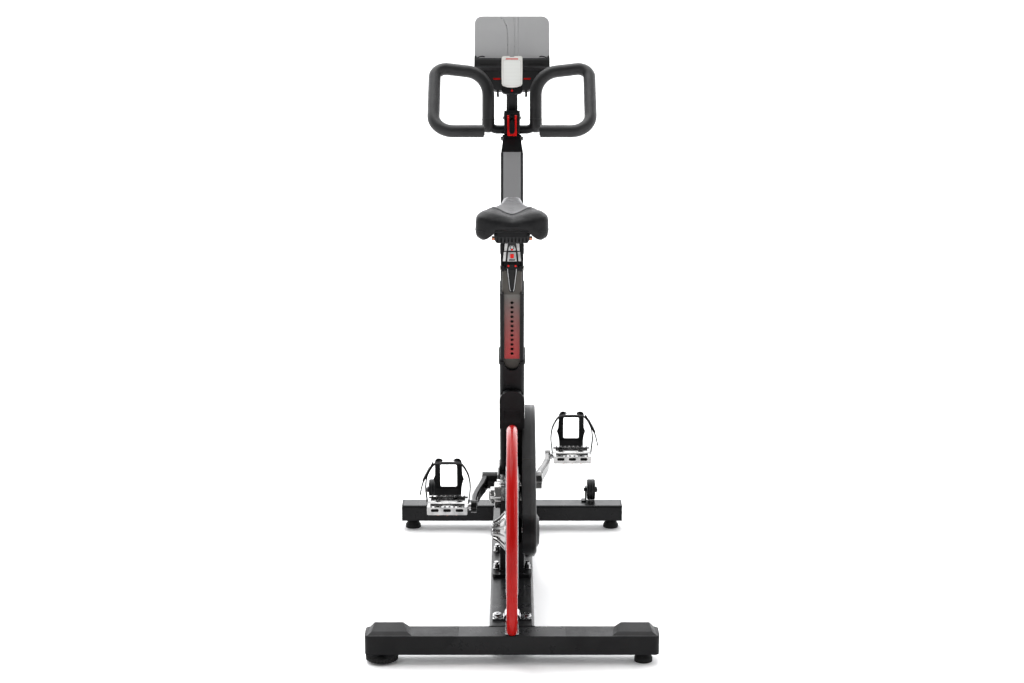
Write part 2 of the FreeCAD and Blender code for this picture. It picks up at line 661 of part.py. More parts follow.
# Share of the way from hub to eye, inner and outer face from the middle, half height
CRANK_STATIONS = [(0.0, 59, 73, 18), (0.14, 60, 76, 16), (0.30, 65, 82, 14.5), (0.50, 74, 90, 13.5),
                  (0.72, 81, 96, 13), (1.0, 84, 97, 12)]


def crank_spindle():
    return rod_x(SPINDLE_R, -HUB_IN, HUB_IN, BB_Y, BB_Z)


def crank_arm(side):
    """Arm that steps outwards from its hub on the spindle to the pedal's eye."""
    end_y, end_z = crank_end(side)
    rings = []
    for share, inner, outer, half in CRANK_STATIONS:
        y = BB_Y + (end_y - BB_Y) * share
        z = BB_Z + (end_z - BB_Z) * share
        rings.append([(side * inner, y, z - half + 3), (side * (inner + 3), y, z - half),
                      (side * (outer - 4), y, z - half), (side * outer, y, z - half + 4),
                      (side * outer, y, z + half - 4), (side * (outer - 4), y, z + half),
                      (side * (inner + 3), y, z + half), (side * inner, y, z + half - 3)])
    hub_in = HUB_IN if side > 0 else LEFT_BOSS_IN
    hub = rod_x(21, min(side * hub_in, side * 73), max(side * hub_in, side * 73), BB_Y, BB_Z)
    eye = rod_x(15, min(side * 84, side * 97), max(side * 84, side * 97), end_y, end_z)
    arm = fuse(loft(*rings), hub, eye)
    arm = arm.cut(rod_x(8, min(side * 69, side * 80), max(side * 69, side * 80), BB_Y, BB_Z))
    arm = arm.cut(rod_x(SPINDLE_R, -HUB_IN, HUB_IN, BB_Y, BB_Z))
    return arm.cut(rod_x(7, min(side * 80, side * 110), max(side * 80, side * 110), end_y, end_z))


def pedal_axle(side):
    y, z = crank_end(side)
    thread = rod_x(7, min(side * 84, side * 100), max(side * 84, side * 100), y, z)
    flats = rod_x(9, min(side * 97, side * 102), max(side * 97, side * 102), y, z)
    shaft = rod_x(6, min(side * 100, side * 196), max(side * 100, side * 196), y, z)
    return fuse(thread, flats, shaft)


def pedal_body(side):
    """Cast cage pedal: barrel, two slotted plates and two end plates."""
    y, z = crank_end(side)
    x0 = PEDAL_X - PEDAL_HALF
    x1 = PEDAL_X + PEDAL_HALF
    barrel = rod_x(13, x0, x1, y, z)
    rear = soften(block(x0, x1, y - 45, y - 37, z - 7, z + 12), 3, (0, 1, 0))
    front = soften(block(x0, x1, y + 37, y + 45, z - 7, z + 12), 3, (0, 1, 0))
    ends = [block(low, low + 7, y - 40, y + 40, z - 6, z + 10) for low in (x0, x1 - 7)]
    clip = block(PEDAL_X - 12, PEDAL_X + 12, y - 42, y + 42, z - 7, z + 7)
    body = fuse(barrel, rear, front, clip, *ends)
    for offset in (-29, 0, 29):
        middle = PEDAL_X + offset
        slot = soften(block(middle - 9, middle + 9, y - 47, y - 38.5, z + 1, z + 8), 3, (0, 1, 0))
        body = body.cut(slot)
    body = body.cut(rod_x(6.05, x0 - 1, x1 - 2, y, z))
    return body if side > 0 else mirrored(body)


CAGE_PATH = [(45, 6), (57, 10), (69, 22), (74, 42), (71, 68), (61, 86), (38, 101)]
CAGE_SKIN = 3.0
CAGE_HALF = 36.5


def cage_outline():
    """Shape of the cage from behind: waisted sides with a point at mid height and two horns."""
    right = [
        (10, 0), (30, 0), (31, 22), (33, 34), (36.5, 44), (33, 54), (32, 92), (29, 106), (17, 106), (14, 94),
    ]
    return right + [(-px, pz) for px, pz in right[::-1]]


def toe_cage(side):
    """Toe cage on the pedal's front plate, rising and curling back over the toe."""
    y, z = crank_end(side)
    inner = []
    outer = []
    for index, (py, pz) in enumerate(CAGE_PATH):
        before = CAGE_PATH[max(index - 1, 0)]
        after = CAGE_PATH[min(index + 1, len(CAGE_PATH) - 1)]
        heading = math.atan2(after[1] - before[1], after[0] - before[0])
        inner.append((y + py, z + pz))
        outer.append((y + py + CAGE_SKIN * math.sin(heading), z + pz - CAGE_SKIN * math.cos(heading)))
    band = side_prism(inner + outer[::-1], PEDAL_X - CAGE_HALF, PEDAL_X + CAGE_HALF)
    window = block(PEDAL_X - 20, PEDAL_X + 20, y + 50, y + 90, z + 26, z + 84)
    band = band.cut(soften(window, 4, (0, 1, 0)))
    band = band.common(face_prism([(PEDAL_X + px, z + pz) for px, pz in cage_outline()], y, y + 100))
    tongue = block(PEDAL_X - 30, PEDAL_X + 30, y + 45, y + 47.5, z - 5, z + 10)
    return fuse(band, tongue) if side > 0 else mirrored(fuse(band, tongue))


STRAP_Y = 30.0                 # strap's rear edge, ahead of the pedal axle
STRAP_WIDTH = 12.0


def strap_ring(grow):
    """Outline of the strap: under the pedal, bulging at the sides and narrow over the cage."""
    right = [(46 + grow, -8.2 - grow), (48.2 + grow, -5), (48.2 + grow, 14), (52 + grow, 40), (49 + grow, 66),
             (38 + grow, 90), (31 + grow, 97 + grow)]
    return right + [(-px, pz) for px, pz in reversed(right)]


def toe_strap(side):
    """Strap under the pedal and over the toe cage, with its buckle and loose tail."""
    y, z = crank_end(side)
    y0 = y + STRAP_Y - 14
    place = lambda ring: [(PEDAL_X + px, z + pz) for px, pz in ring]
    loop = face_prism(place(strap_ring(1.8)), y0, y0 + STRAP_WIDTH)
    loop = loop.cut(face_prism(place(strap_ring(0)), y0 - 1, y0 + STRAP_WIDTH + 1))
    buckle = face_prism(place([(44, 80), (48, 84), (60, 60), (56, 56)]), y0 - 1.5, y0 + STRAP_WIDTH + 1.5)
    tail = face_prism(place([(57, 62), (59, 62), (67, 22), (65.4, 21.6)]), y0, y0 + STRAP_WIDTH)
    strap = fuse(loop, buckle.cut(face_prism(place(strap_ring(0)), y0 - 3, y0 + STRAP_WIDTH + 3)), tail)
    return strap if side > 0 else mirrored(strap)


# ---- Seat post and saddle -----------------------------------------------------------
def post_holes():
    first = 386.0
    count = 12
    return [rod_y(3.8, -30, -12, 0, first + k * HOLE_PITCH) for k in range(count)]


def seat_post():
    body = square_tube(POST_HALF, POST_HALF, POST_LOW, POST_TOP, 3)
    body = body.cut(block(-19, 19, -19, 19, POST_LOW - 1, POST_TOP - 12))
    body = body.cut(block(-17.5, 17.5, -23, -21.6, 372, 548))
    for hole in post_holes():
        body = body.cut(hole)
    return on_seat(body)


def seat_scale():
    """Thin printed strip let into the back of the post, pierced by its holes."""
    strip = block(-17.5, 17.5, -POST_HALF, -21.6, 372, 548)
    for hole in post_holes():
        strip = strip.cut(hole)
    return on_seat(strip)


RAIL_HALF = 18.0
RAIL_LOW = 904.0
RAIL_REAR = -239.0
RAIL_TOP = 924.0
HEAD_TOP = 922.0
LEVER_PIVOT = (-254.0, 866.0)
LEVER_PIN_R = 3.5


def seat_head():
    """Clamp block on the post, with the fork that carries the seat lever."""
    foot = on_seat(soften(block(-25.5, 25.5, -27, 27, POST_TOP, POST_TOP + 32), 4, (0, 0, 1)))
    top = soften(block(-25.5, 25.5, -243, -160, 880, HEAD_TOP), 4, (0, 1, 0))
    yoke_top = RAIL_LOW - 0.5
    yoke = face_prism([(-14, 879.5), (14, 879.5), (11.5, yoke_top), (-11.5, yoke_top)], -252, -240)
    body = fuse(foot, top, yoke)
    for side in (-1, 1):
        inner, outer = sorted((side * 17, side * 23))
        outline = [(-262, 860), (-246, 858), (-215, 866), (-215, 884), (-246, 884), (-262, 872)]
        ear = side_prism(outline, inner, outer)
        body = fuse(body, ear)
    body = body.cut(block(-RAIL_HALF - 0.4, RAIL_HALF + 0.4, -255, -150, RAIL_LOW - 0.4, HEAD_TOP + 1))
    pin = rod_x(LEVER_PIN_R, -25, 25, *LEVER_PIVOT)
    return fuse(body, pin)


def seat_lever():
    """Teardrop lever hanging behind the post; its barrel turns on the fork's pin."""
    y, z = LEVER_PIVOT
    right = [(4, -54), (6.5, -49), (8, -38), (10, -20), (12.5, -4), (13, 6), (11, 10)]
    outline = [(px, z + pz) for px, pz in right] + [(-px, z + pz) for px, pz in reversed(right)]
    blade = soften(face_prism(outline, y - 7, y + 3), 2.5, (0, 1, 0))
    barrel = rod_x(7, -16.6, 16.6, y, z)
    return fuse(blade, barrel).cut(rod_x(LEVER_PIN_R + 0.05, -20, 20, y, z))


def seat_paddle():
    """Arched paddle on the back of the seat tube that frees the post."""
    py, pz = PADDLE_PIVOT
    half = 29.5
    arch = 266.5
    plate = block(-half, half, -47, -32.4, 187, arch)
    plate = fuse(plate, rod_y(half, -47, -32.4, 0, arch))
    taper = side_prism([(-60, 180), (-45.5, 180), (-48, 300), (-60, 300)], -40, 40)
    plate = plate.cut(taper)
    plate = plate.cut(block(-40, 40, -36.4, -30, pz - 8, 300))
    plate = plate.cut(block(-6.6, 6.6, -44, -30, pz - 12, 300))
    scoop = rod_x(60, -20, 20, -103, 222)
    plate = plate.cut(scoop)
    return on_seat(plate.cut(rod_x(PADDLE_PIN_R + 0.05, -40, 40, py, pz)))


def saddle_carriage():
    """Fore and aft rail with the ribbed bracket that carries the saddle."""
    rail = block(-RAIL_HALF, RAIL_HALF, RAIL_REAR, -60, RAIL_LOW, RAIL_TOP)
    rail = rail.cut(block(-RAIL_HALF + 3, RAIL_HALF - 3, RAIL_REAR + 4, -59, RAIL_LOW + 3, RAIL_TOP - 3))
    plug = face_prism([(-11, RAIL_LOW), (11, RAIL_LOW), (7.5, RAIL_TOP), (-7.5, RAIL_TOP)], -252, RAIL_REAR)
    rail = fuse(rail, plug)
    bracket = face_prism([(-34, RAIL_TOP), (34, RAIL_TOP), (39, 931), (39, 940), (-39, 940), (-39, 931)],
                         -262, -130)
    for k in range(9):
        x = -32 + 8 * k
        bracket = bracket.cut(block(x - 1.6, x + 1.6, -263, -254, RAIL_TOP + 2, 937))
    ends = rod_x(4, -44, 44, -250, 933.5)
    return fuse(rail, bracket, ends)


BASE_LOW = 940.0
BASE_TOP = 953.0
BASE_OUTLINE = [(0, -276), (32, -274), (40, -264), (41, -236), (38, -200), (30, -150), (20, -110),
                (14, -60), (9, -42), (0, -40)]
PAD_LOW = 938.0
PAD_TOP = 1004.0
PAD_OUTLINE = [(0, -298), (44, -301), (70, -294), (83, -270), (84, -238), (74, -200), (52, -158),
               (33, -122), (25, -80), (21, -44), (12, -28), (0, -25)]


def both_sides(outline):
    return outline + [(-x, y) for x, y in reversed(outline) if x > 0]


def saddle_base():
    return plan_prism(both_sides(BASE_OUTLINE), BASE_LOW, BASE_TOP)


def saddle_pad():
    pad = plan_prism(both_sides(PAD_OUTLINE), PAD_LOW, PAD_TOP)
    rim = [e for e in pad.Edges if abs(e.CenterOfMass.z - PAD_TOP) < 0.01]
    pad = pad.makeChamfer(7, rim)
    pad = pad.cut(block(-41.5, 41.5, -310, -20, PAD_LOW - 1, BASE_LOW))
    return pad.cut(plan_prism(both_sides(BASE_OUTLINE), PAD_LOW - 1, BASE_TOP))


# ---- Handlebar and console ----------------------------------------------------------
LOWER = (244.0, 1113.0)
UPPER = (396.0, 1256.0)
UPPER_IN = (386.0, 1241.0)     # the top bars fall towards the risers
LOOP_X = 195.0
RISER_X = 60.0
LOWER_END_X = 72.5
LOWER_BEND = 50.0
TOP_BEND = 29.0
INNER_BEND = 60.0
YOKE_BEND = 24.0


def handlebar_edges():
    right = [
        (RISER_X, *BAR_AXIS), (RISER_X, *UPPER_IN), (LOOP_X, *UPPER), (LOOP_X, *LOWER), (LOWER_END_X, *LOWER),
    ]
    left = [(-x, y, z) for x, y, z in reversed(right)]
    bends = [LOWER_BEND, TOP_BEND, INNER_BEND, YOKE_BEND]
    return rounded_path(left + right, bends + bends[::-1])


def handlebar():
    return pipe(handlebar_edges(), BAR_R)


def grips():
    """Foam sleeves, from the lower ends round each loop and down its riser."""
    edges = handlebar_edges()
    left = edges[:7]
    sleeve = pipe(left, GRIP_R).cut(pipe(left, BAR_R))
    end = rod_x(GRIP_R, -LOWER_END_X, -LOWER_END_X + 3, *LOWER)
    return [sleeve, mirrored(sleeve), end, mirrored(end)]


def stem_outside():
    return on_front(soften(block(-20, 20, -32, 26, STEM_LOW, STEM_TOP), 5, (0, 0, 1)))


CLAMP_PIVOT = (-41.0, 903.0)   # handlebar lever's pin in the front tube's own frame


def handlebar_post():
    """Sliding post with the clamp block that holds the handlebar."""
    post = square_tube(FRONT_POST_HALF, FRONT_POST_HALF, 560, STEM_LOW, 2)
    post = post.cut(block(-15, 15, -15, 15, 559, STEM_LOW - 12))
    low, high = CLAMP_PIVOT[1] - 6, CLAMP_PIVOT[1] + 7
    lugs = fuse(block(-6.5, -3.5, -45, -31, low, high), block(3.5, 6.5, -45, -31, low, high))
    pin = rod_x(2.5, -12, 12, *CLAMP_PIVOT)
    stalk = side_prism([(366, 1136), (384, 1136), (353, 1236), (338, 1230)], -7.5, 7.5)
    stalk = stalk.cut(on_display(block(-30, 30, -20, DISPLAY_BACK, -60, 60)))
    body = fuse(on_front(post), stem_outside(), on_front(fuse(lugs, pin)), stalk)
    return body.cut(rod_x(BAR_R, -60, 60, *BAR_AXIS))


def handlebar_lever():
    """Wishbone cam lever on the back of the clamp."""
    y, z = CLAMP_PIVOT
    arms = [block(7, 12, y - 4, y + 3, z - 42, z + 3), block(-12, -7, y - 4, y + 3, z - 42, z + 3)]
    toe = soften(block(-12, 12, y - 8, y + 3, z - 48, z - 34), 3, (0, 1, 0))
    eyes = [rod_x(5.5, 7, 12, y, z), rod_x(5.5, -12, -7, y, z)]
    middle = block(-3, 3, y - 6, y + 1, z - 40, z - 10)
    body = fuse(toe, middle, *arms, *eyes)
    return on_front(body.cut(rod_x(2.55, -20, 20, y, z)))


BUTTON_AT = (0.0, -41.5)
BUTTON_R = 2.4


def display_housing():
    shell = soften(block(-26, 26, -6, 7, -48, 44), 9, (0, 1, 0))
    back = loft([(-22, 7, -30), (22, 7, -30), (22, 7, 30), (-22, 7, 30)],
                [(-14, DISPLAY_BACK, -24), (14, DISPLAY_BACK, -24), (14, DISPLAY_BACK, 16), (-14, DISPLAY_BACK, 16)])
    return on_display(fuse(shell, back).cut(rod_y(BUTTON_R + 0.3, -10, -1, *BUTTON_AT)))


def display_bezel():
    """Silver front of the display, tapering to its rounded chin."""
    right = [
        (4.5, 43.5), (6, 46), (22, 46), (25, 44.5), (26, 41), (26.3, 10), (25.5, -24), (23, -29), (12, -33), (0, -34),
    ]
    outline = right + [(-x, z) for x, z in reversed(right) if x > 0]
    return on_display(face_prism(outline, -9.5, -6))


def display_button():
    return on_display(rod_y(BUTTON_R, -7.4, -2.4, *BUTTON_AT))


LEDGE_DROP = 12.5              # the ledge sits this far below the plate's base point


def tablet_plate():
    return on_tablet(soften(block(-96, 96, -2, 2, -LEDGE_DROP, 121), 20, (0, 1, 0), lambda p: p.z > 60))


def tablet_holder():
    """Ledge, tapered body and corner clips that hold a tablet, with its bracket."""
    outline = [(-96, -15), (96, -15), (96, -30), (84, -42), (62, -52), (56, -76), (42, -84),
               (-42, -84), (-56, -76), (-62, -52), (-84, -42), (-96, -30)]
    body = face_prism(outline, 2, 15)
    ledge = soften(block(-96, 96, -24, 15, -30, -LEDGE_DROP), 4, (1, 0, 0))
    lip = block(-96, 96, -24, -20, -14, -7)
    ear = [(96, -14), (96, 6), (93, 8), (90, 4), (89, -14)]
    clips = [face_prism([(side * x, z) for x, z in ear], -8, -2) for side in (-1, 1)]
    tabs = [block(-39, -33, 4, 10, -100, -80), block(33, 39, 4, 10, -100, -80)]
    holder = on_tablet(fuse(body, ledge, lip, *clips, *tabs))
    bracket = side_prism([(388, 1128), (404, 1132), (436, 1208), (424, 1222), (390, 1156)], -14, 14)
    return fuse(holder, bracket.cut(stem_outside()).cut(display_housing()))


# ---- Write every piece --------------------------------------------------------------
def main():
    os.makedirs("parts", exist_ok=True)
    cap = front_end_cap()
    cover = rear_cover()
    bracket = roller_bracket()
    wheel = roller()
    feet = [small_foot(REAR_FOOT_X, REAR_FOOT_Y), small_foot(FRONT_FOOT_X, FRONT_FOOT_Y),
            small_foot(-FRONT_FOOT_X, FRONT_FOOT_Y)]
    save("base_beam", base_beam())
    save("front_bar", front_bar())
    save("front_bar_end_caps", cap, mirrored(cap))
    save("rear_bar", rear_bar())
    save("rear_bar_covers", cover, mirrored(cover))
    save("levelling_feet", *feet)
    save("levelling_adjuster", levelling_adjuster())
    save("roller_brackets", bracket, mirrored(bracket))
    save("transport_roller_right", wheel)
    save("transport_roller_left", mirrored(wheel))
    save("frame_foot", frame_foot())
    save("frame_column", frame_column())
    save("seat_tube", seat_tube())
    save("seat_guide_channel", seat_guide_channel())
    save("front_tube", front_tube())
    save("tube_collars", seat_collar(), front_collar())
    save("frame_fasteners", *frame_fasteners())
    save("flywheel", flywheel())
    save("flywheel_hub", flywheel_hub())
    save("flywheel_pulley", flywheel_pulley())
    save("flywheel_arm", flywheel_arm())
    save("bearings", *bearings())
    save("flywheel_guard", flywheel_guard())
    save("guard_bracket", guard_bracket())
    save("belt_cover_inner", belt_cover_inner())
    save("belt_cover_outer", belt_cover_outer())
    save("drive_belt", drive_belt())
    save("crank_pulley", crank_pulley())
    save("idler_pulley", idler_pulley())
    save("idler_arm", idler_arm())
    save("magnet_mount", magnet_mount())
    save("magnet_caliper", magnet_caliper())
    save("brake_magnets", *brake_magnets())
    save("crank_spindle", crank_spindle())
    save("pedal_axles", pedal_axle(1), pedal_axle(-1))
    for side, hand in ((1, "right"), (-1, "left")):
        save("crank_arm_" + hand, crank_arm(side))
        save("pedal_body_" + hand, pedal_body(side))
        save("toe_cage_" + hand, toe_cage(side))
        save("toe_strap_" + hand, toe_strap(side))
    save("seat_post", seat_post())
    save("seat_scale", seat_scale())
    save("seat_head", seat_head())
    save("seat_lever", seat_lever())
    save("seat_paddle", seat_paddle())
    save("saddle_carriage", saddle_carriage())
    save("saddle_base", saddle_base())
    save("saddle_pad", saddle_pad())
    save("handlebar_post", handlebar_post())
    save("handlebar", handlebar())
    save("handlebar_grips", *grips())
    save("handlebar_lever", handlebar_lever())
    save("display_housing", display_housing())
    save("display_bezel", display_bezel())
    save("display_button", display_button())
    save("tablet_plate", tablet_plate())
    save("tablet_holder", tablet_holder())


main()
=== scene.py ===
"""Looks of the indoor exercise bike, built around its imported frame. Metres, +Z up, +Y forward."""
import json
import math

import bmesh
import bpy
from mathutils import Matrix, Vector
from mathutils.bvhtree import BVHTree


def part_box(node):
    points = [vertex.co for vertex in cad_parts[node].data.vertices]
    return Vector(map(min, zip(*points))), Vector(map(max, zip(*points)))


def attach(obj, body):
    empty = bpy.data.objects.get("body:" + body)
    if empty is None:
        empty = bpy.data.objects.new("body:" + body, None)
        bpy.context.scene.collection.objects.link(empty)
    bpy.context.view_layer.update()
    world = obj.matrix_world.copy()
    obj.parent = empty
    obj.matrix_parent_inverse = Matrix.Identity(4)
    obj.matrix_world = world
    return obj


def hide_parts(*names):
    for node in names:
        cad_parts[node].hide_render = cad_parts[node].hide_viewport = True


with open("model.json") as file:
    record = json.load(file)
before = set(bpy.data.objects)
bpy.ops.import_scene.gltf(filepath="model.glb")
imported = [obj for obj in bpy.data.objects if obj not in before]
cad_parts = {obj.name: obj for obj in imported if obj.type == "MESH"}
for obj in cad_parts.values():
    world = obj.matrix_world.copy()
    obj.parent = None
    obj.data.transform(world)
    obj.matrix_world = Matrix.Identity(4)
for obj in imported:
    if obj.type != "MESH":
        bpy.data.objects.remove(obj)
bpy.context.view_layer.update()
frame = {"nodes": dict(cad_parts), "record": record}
nodes = frame["nodes"]


# ---- Node materials -----------------------------------------------------------------
class Finish:
    """A node material: a Principled shader, and helpers that add procedural detail to it."""

    def __init__(self, name, colour, roughness=0.5, metallic=0.0):
        self.material = bpy.data.materials.new(name)
        self.material.use_nodes = True
        self.tree = self.material.node_tree
        self.shader = self.tree.nodes["Principled BSDF"]
        self.set("Base Color", (*colour, 1.0))
        self.set("Roughness", roughness)
        self.set("Metallic", metallic)
        self.place = self.add("ShaderNodeTexCoord").outputs["Object"]
        self.normal = None

    def set(self, socket, value):
        self.shader.inputs[socket].default_value = value
        return self

    def add(self, kind, **inputs):
        node = self.tree.nodes.new(kind)
        for name, value in inputs.items():
            socket = node.inputs[name.replace("_", " ")]
            if isinstance(value, bpy.types.NodeSocket):
                self.tree.links.new(value, socket)
            else:
                socket.default_value = value
        return node

    def link(self, output, target):
        self.tree.links.new(output, target)

    def stretched(self, scale, turn=(0, 0, 0)):
        """Object coordinates scaled differently along each axis."""
        node = self.add("ShaderNodeMapping", Vector=self.place, Scale=scale, Rotation=turn)
        return node.outputs["Vector"]

    def noise(self, scale, detail=4.0, rough=0.55, place=None):
        node = self.add("ShaderNodeTexNoise", Vector=place or self.place, Scale=scale, Detail=detail,
                        Roughness=rough)
        return node.outputs["Fac"]

    def ramp(self, value, *stops):
        node = self.add("ShaderNodeValToRGB", Fac=value)
        elements = node.color_ramp.elements
        while len(elements) < len(stops):
            elements.new(0.5)
        for element, (at, colour) in zip(elements, stops):
            element.position = at
            element.color = (*colour, 1.0) if len(colour) == 3 else colour
        return node.outputs["Color"]

    def scaled(self, value, low, high, to_low, to_high):
        node = self.add("ShaderNodeMapRange", Value=value, From_Min=low, From_Max=high,
                        To_Min=to_low, To_Max=to_high)
        return node.outputs["Result"]

    def mottled(self, dark, light, scale=18.0, spread=0.12):
        """Slow colour drift between two close colours."""
        colour = self.ramp(self.noise(scale), (0.5 - spread, dark), (0.5 + spread, light))
        self.link(colour, self.shader.inputs["Base Color"])
        return self

    def worn(self, low, high, scale=40.0, place=None):
        """Roughness that drifts, as handling and dust leave it."""
        value = self.scaled(self.noise(scale, 6.0, 0.65, place), 0.3, 0.7, low, high)
        self.link(value, self.shader.inputs["Roughness"])
        return self

    def bump(self, height, strength, distance):
        node = self.add("ShaderNodeBump", Height=height, Strength=strength, Distance=distance)
        if self.normal is not None:
            self.link(self.normal, node.inputs["Normal"])
        self.normal = node.outputs["Normal"]
        self.link(self.normal, self.shader.inputs["Normal"])
        return self

    def round_edges(self, radius):
        """Catch light along hard edges; call it before any bump."""
        node = self.add("ShaderNodeBevel", Radius=radius)
        node.samples = 4
        self.normal = node.outputs["Normal"]
        self.link(self.normal, self.shader.inputs["Normal"])
        return self

    def coat(self, weight, roughness=0.08):
        return self.set("Coat Weight", weight).set("Coat Roughness", roughness)


PAINT_SHINE = 0.13             # upright black faces mirror the floor, so their reflectance is kept low
MOULDING_SHINE = 0.12
TUBE_BLACK = (0.007, 0.007, 0.0075)
# painted reflection: grey given to the front tube's rear face in place of the sky it mirrors
TUBE_PAINTED_REFLECTION = (0.212, 0.212, 0.214)


def grain(finish, scale, strength, distance):
    return finish.bump(finish.noise(scale, 3.0, 0.6), strength, distance)


def powder_coat(name, dark, light, low, high):
    finish = Finish(name, dark).round_edges(0.0012).mottled(dark, light, 9.0).worn(low, high, 25.0)
    finish.set("Specular IOR Level", PAINT_SHINE)
    grain(finish, 900.0, 0.10, 0.0005)
    return finish.material


def tube_paint_with_painted_reflection():
    """Black powder coat with painted reflection: its broad rear face is coloured as a flat grey panel, standing
    in for the bright sky it mirrors, and its sides stay black.
    """
    finish = Finish("front_tube_painted_reflection", TUBE_BLACK).round_edges(0.0012).worn(0.26, 0.36, 25.0)
    finish.set("Specular IOR Level", PAINT_SHINE)
    across = finish.add("ShaderNodeNewGeometry").outputs["True Normal"]
    rearward = finish.add("ShaderNodeSeparateXYZ", Vector=across).outputs["Y"]
    # painted reflection: faces that look rearward are coloured grey, the rest stay black
    colour = finish.ramp(finish.scaled(rearward, -0.92, -0.86, 0.0, 1.0),
                         (0.0, TUBE_PAINTED_REFLECTION), (1.0, TUBE_BLACK))
    finish.link(colour, finish.shader.inputs["Base Color"])
    return grain(finish, 900.0, 0.10, 0.0005).material


def moulded(name, dark, light, low, high, texture=1400.0, depth=0.18):
    finish = Finish(name, dark).round_edges(0.0009).mottled(dark, light, 14.0).worn(low, high, 30.0)
    finish.set("Specular IOR Level", MOULDING_SHINE)
    pebble = finish.add("ShaderNodeTexVoronoi", Vector=finish.place, Scale=texture).outputs["Distance"]
    finish.bump(pebble, depth, 0.0004)
    return finish.material


def gloss_paint(name, dark, light):
    finish = Finish(name, dark).mottled(dark, light, 7.0).worn(0.18, 0.24, 30.0)
    return finish.set("Specular IOR Level", 0.12).material


def metal(name, dark, light, low, high, metallic=1.0, brush=(1, 1, 1), fine=600.0):
    """Bare metal with machining or brushing marks that run along one axis."""
    finish = Finish(name, dark, metallic=metallic).round_edges(0.0007).mottled(dark, light, 30.0)
    place = finish.stretched(brush)
    finish.worn(low, high, fine * 0.2, place)
    finish.bump(finish.noise(fine, 4.0, 0.7, place), 0.10, 0.0004)
    return finish.material


def foam():
    finish = Finish("foam_grip", (0.006, 0.006, 0.0065))
    finish.mottled((0.005, 0.005, 0.0055), (0.010, 0.010, 0.0105), 20.0).worn(0.40, 0.56, 60.0)
    finish.set("Specular IOR Level", 0.34).set("Sheen Weight", 0.06).set("Sheen Roughness", 0.4)
    cells = finish.add("ShaderNodeTexVoronoi", Vector=finish.place, Scale=900.0).outputs["Distance"]
    return finish.bump(cells, 0.35, 0.0007).material


def rubber(name, dark, light):
    finish = Finish(name, dark).mottled(dark, light, 25.0).worn(0.6, 0.8, 50.0)
    finish.set("Specular IOR Level", 0.2)
    return grain(finish, 700.0, 0.2, 0.0006).material


def webbing():
    finish = Finish("strap_webbing", (0.02, 0.02, 0.02)).worn(0.75, 0.9, 80.0)
    finish.set("Specular IOR Level", 0.15)
    warp = finish.add("ShaderNodeTexWave", Vector=finish.place, Scale=260.0, Distortion=0.4)
    warp.bands_direction = "Y"
    weft = finish.add("ShaderNodeTexWave", Vector=finish.place, Scale=210.0, Distortion=0.4)
    weft.bands_direction = "Z"
    both = finish.add("ShaderNodeMath")
    both.operation = "MULTIPLY"
    finish.link(warp.outputs["Fac"], both.inputs[0])
    finish.link(weft.outputs["Fac"], both.inputs[1])
    finish.link(finish.ramp(both.outputs[0], (0.2, (0.012, 0.012, 0.012)), (0.8, (0.045, 0.045, 0.046))),
                finish.shader.inputs["Base Color"])
    return finish.bump(both.outputs[0], 0.6, 0.0006).material


def saddle_skin(name, dark, light, low, high):
    """Embossed synthetic leather: small irregular cells with creases between them."""
    finish = Finish(name, dark).mottled(dark, light, 16.0).worn(low, high, 34.0)
    finish.set("Specular IOR Level", 0.15)
    cells = finish.add("ShaderNodeTexVoronoi", Vector=finish.place, Scale=520.0)
    cells.feature = "DISTANCE_TO_EDGE"
    creases = finish.ramp(cells.outputs["Distance"], (0.0, (0, 0, 0)), (0.22, (1, 1, 1)))
    finish.bump(creases, 0.28, 0.0005)
    grain(finish, 120.0, 0.12, 0.0012)
    return finish.material


def scale_strip():
    """Printed strip that runs from red below to grey above."""
    finish = Finish("scale_strip", (0.2, 0.03, 0.03)).worn(0.35, 0.5, 60.0)
    height = finish.add("ShaderNodeSeparateXYZ", Vector=finish.place).outputs["Z"]
    low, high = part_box("seat_scale")
    share = finish.scaled(height, low.z, high.z, 0.0, 1.0)
    drift = finish.add("ShaderNodeMath")
    drift.operation = "MULTIPLY_ADD"
    finish.link(finish.noise(300.0), drift.inputs[0])
    drift.inputs[1].default_value = 0.08
    finish.link(share, drift.inputs[2])
    colour = finish.ramp(drift.outputs[0], (0.05, (0.30, 0.012, 0.012)), (0.55, (0.17, 0.035, 0.03)),
                         (1.0, (0.075, 0.07, 0.062)))
    finish.link(colour, finish.shader.inputs["Base Color"])
    return grain(finish, 1200.0, 0.08, 0.0003).material


def lcd():
    finish = Finish("display_lcd", (0.62, 0.63, 0.61)).worn(0.28, 0.4, 30.0)
    rows = finish.add("ShaderNodeTexWave", Vector=finish.place, Scale=95.0)
    rows.bands_direction = "Z"
    finish.link(finish.ramp(rows.outputs["Fac"], (0.0, (0.60, 0.61, 0.585)), (1.0, (0.68, 0.69, 0.66))),
                finish.shader.inputs["Base Color"])
    return grain(finish, 500.0, 0.05, 0.0003).material


def smoked_plate():
    finish = Finish("tablet_plate_clear", (0.34, 0.34, 0.342))
    finish.mottled((0.33, 0.33, 0.332), (0.36, 0.36, 0.362), 6.0)
    finish.worn(0.30, 0.42, 20.0).set("Alpha", 0.94).set("Specular IOR Level", 0.2)
    return grain(finish, 90.0, 0.04, 0.001).material


def pale_floor():
    finish = Finish("studio_floor", (0.93, 0.93, 0.93))
    finish.mottled((0.925, 0.925, 0.925), (0.94, 0.94, 0.94), 0.8)
    return finish.worn(0.8, 0.9, 3.0).material


ALONG_ARM = (1, 0.2, 1)        # brushing marks drawn out along a crank arm

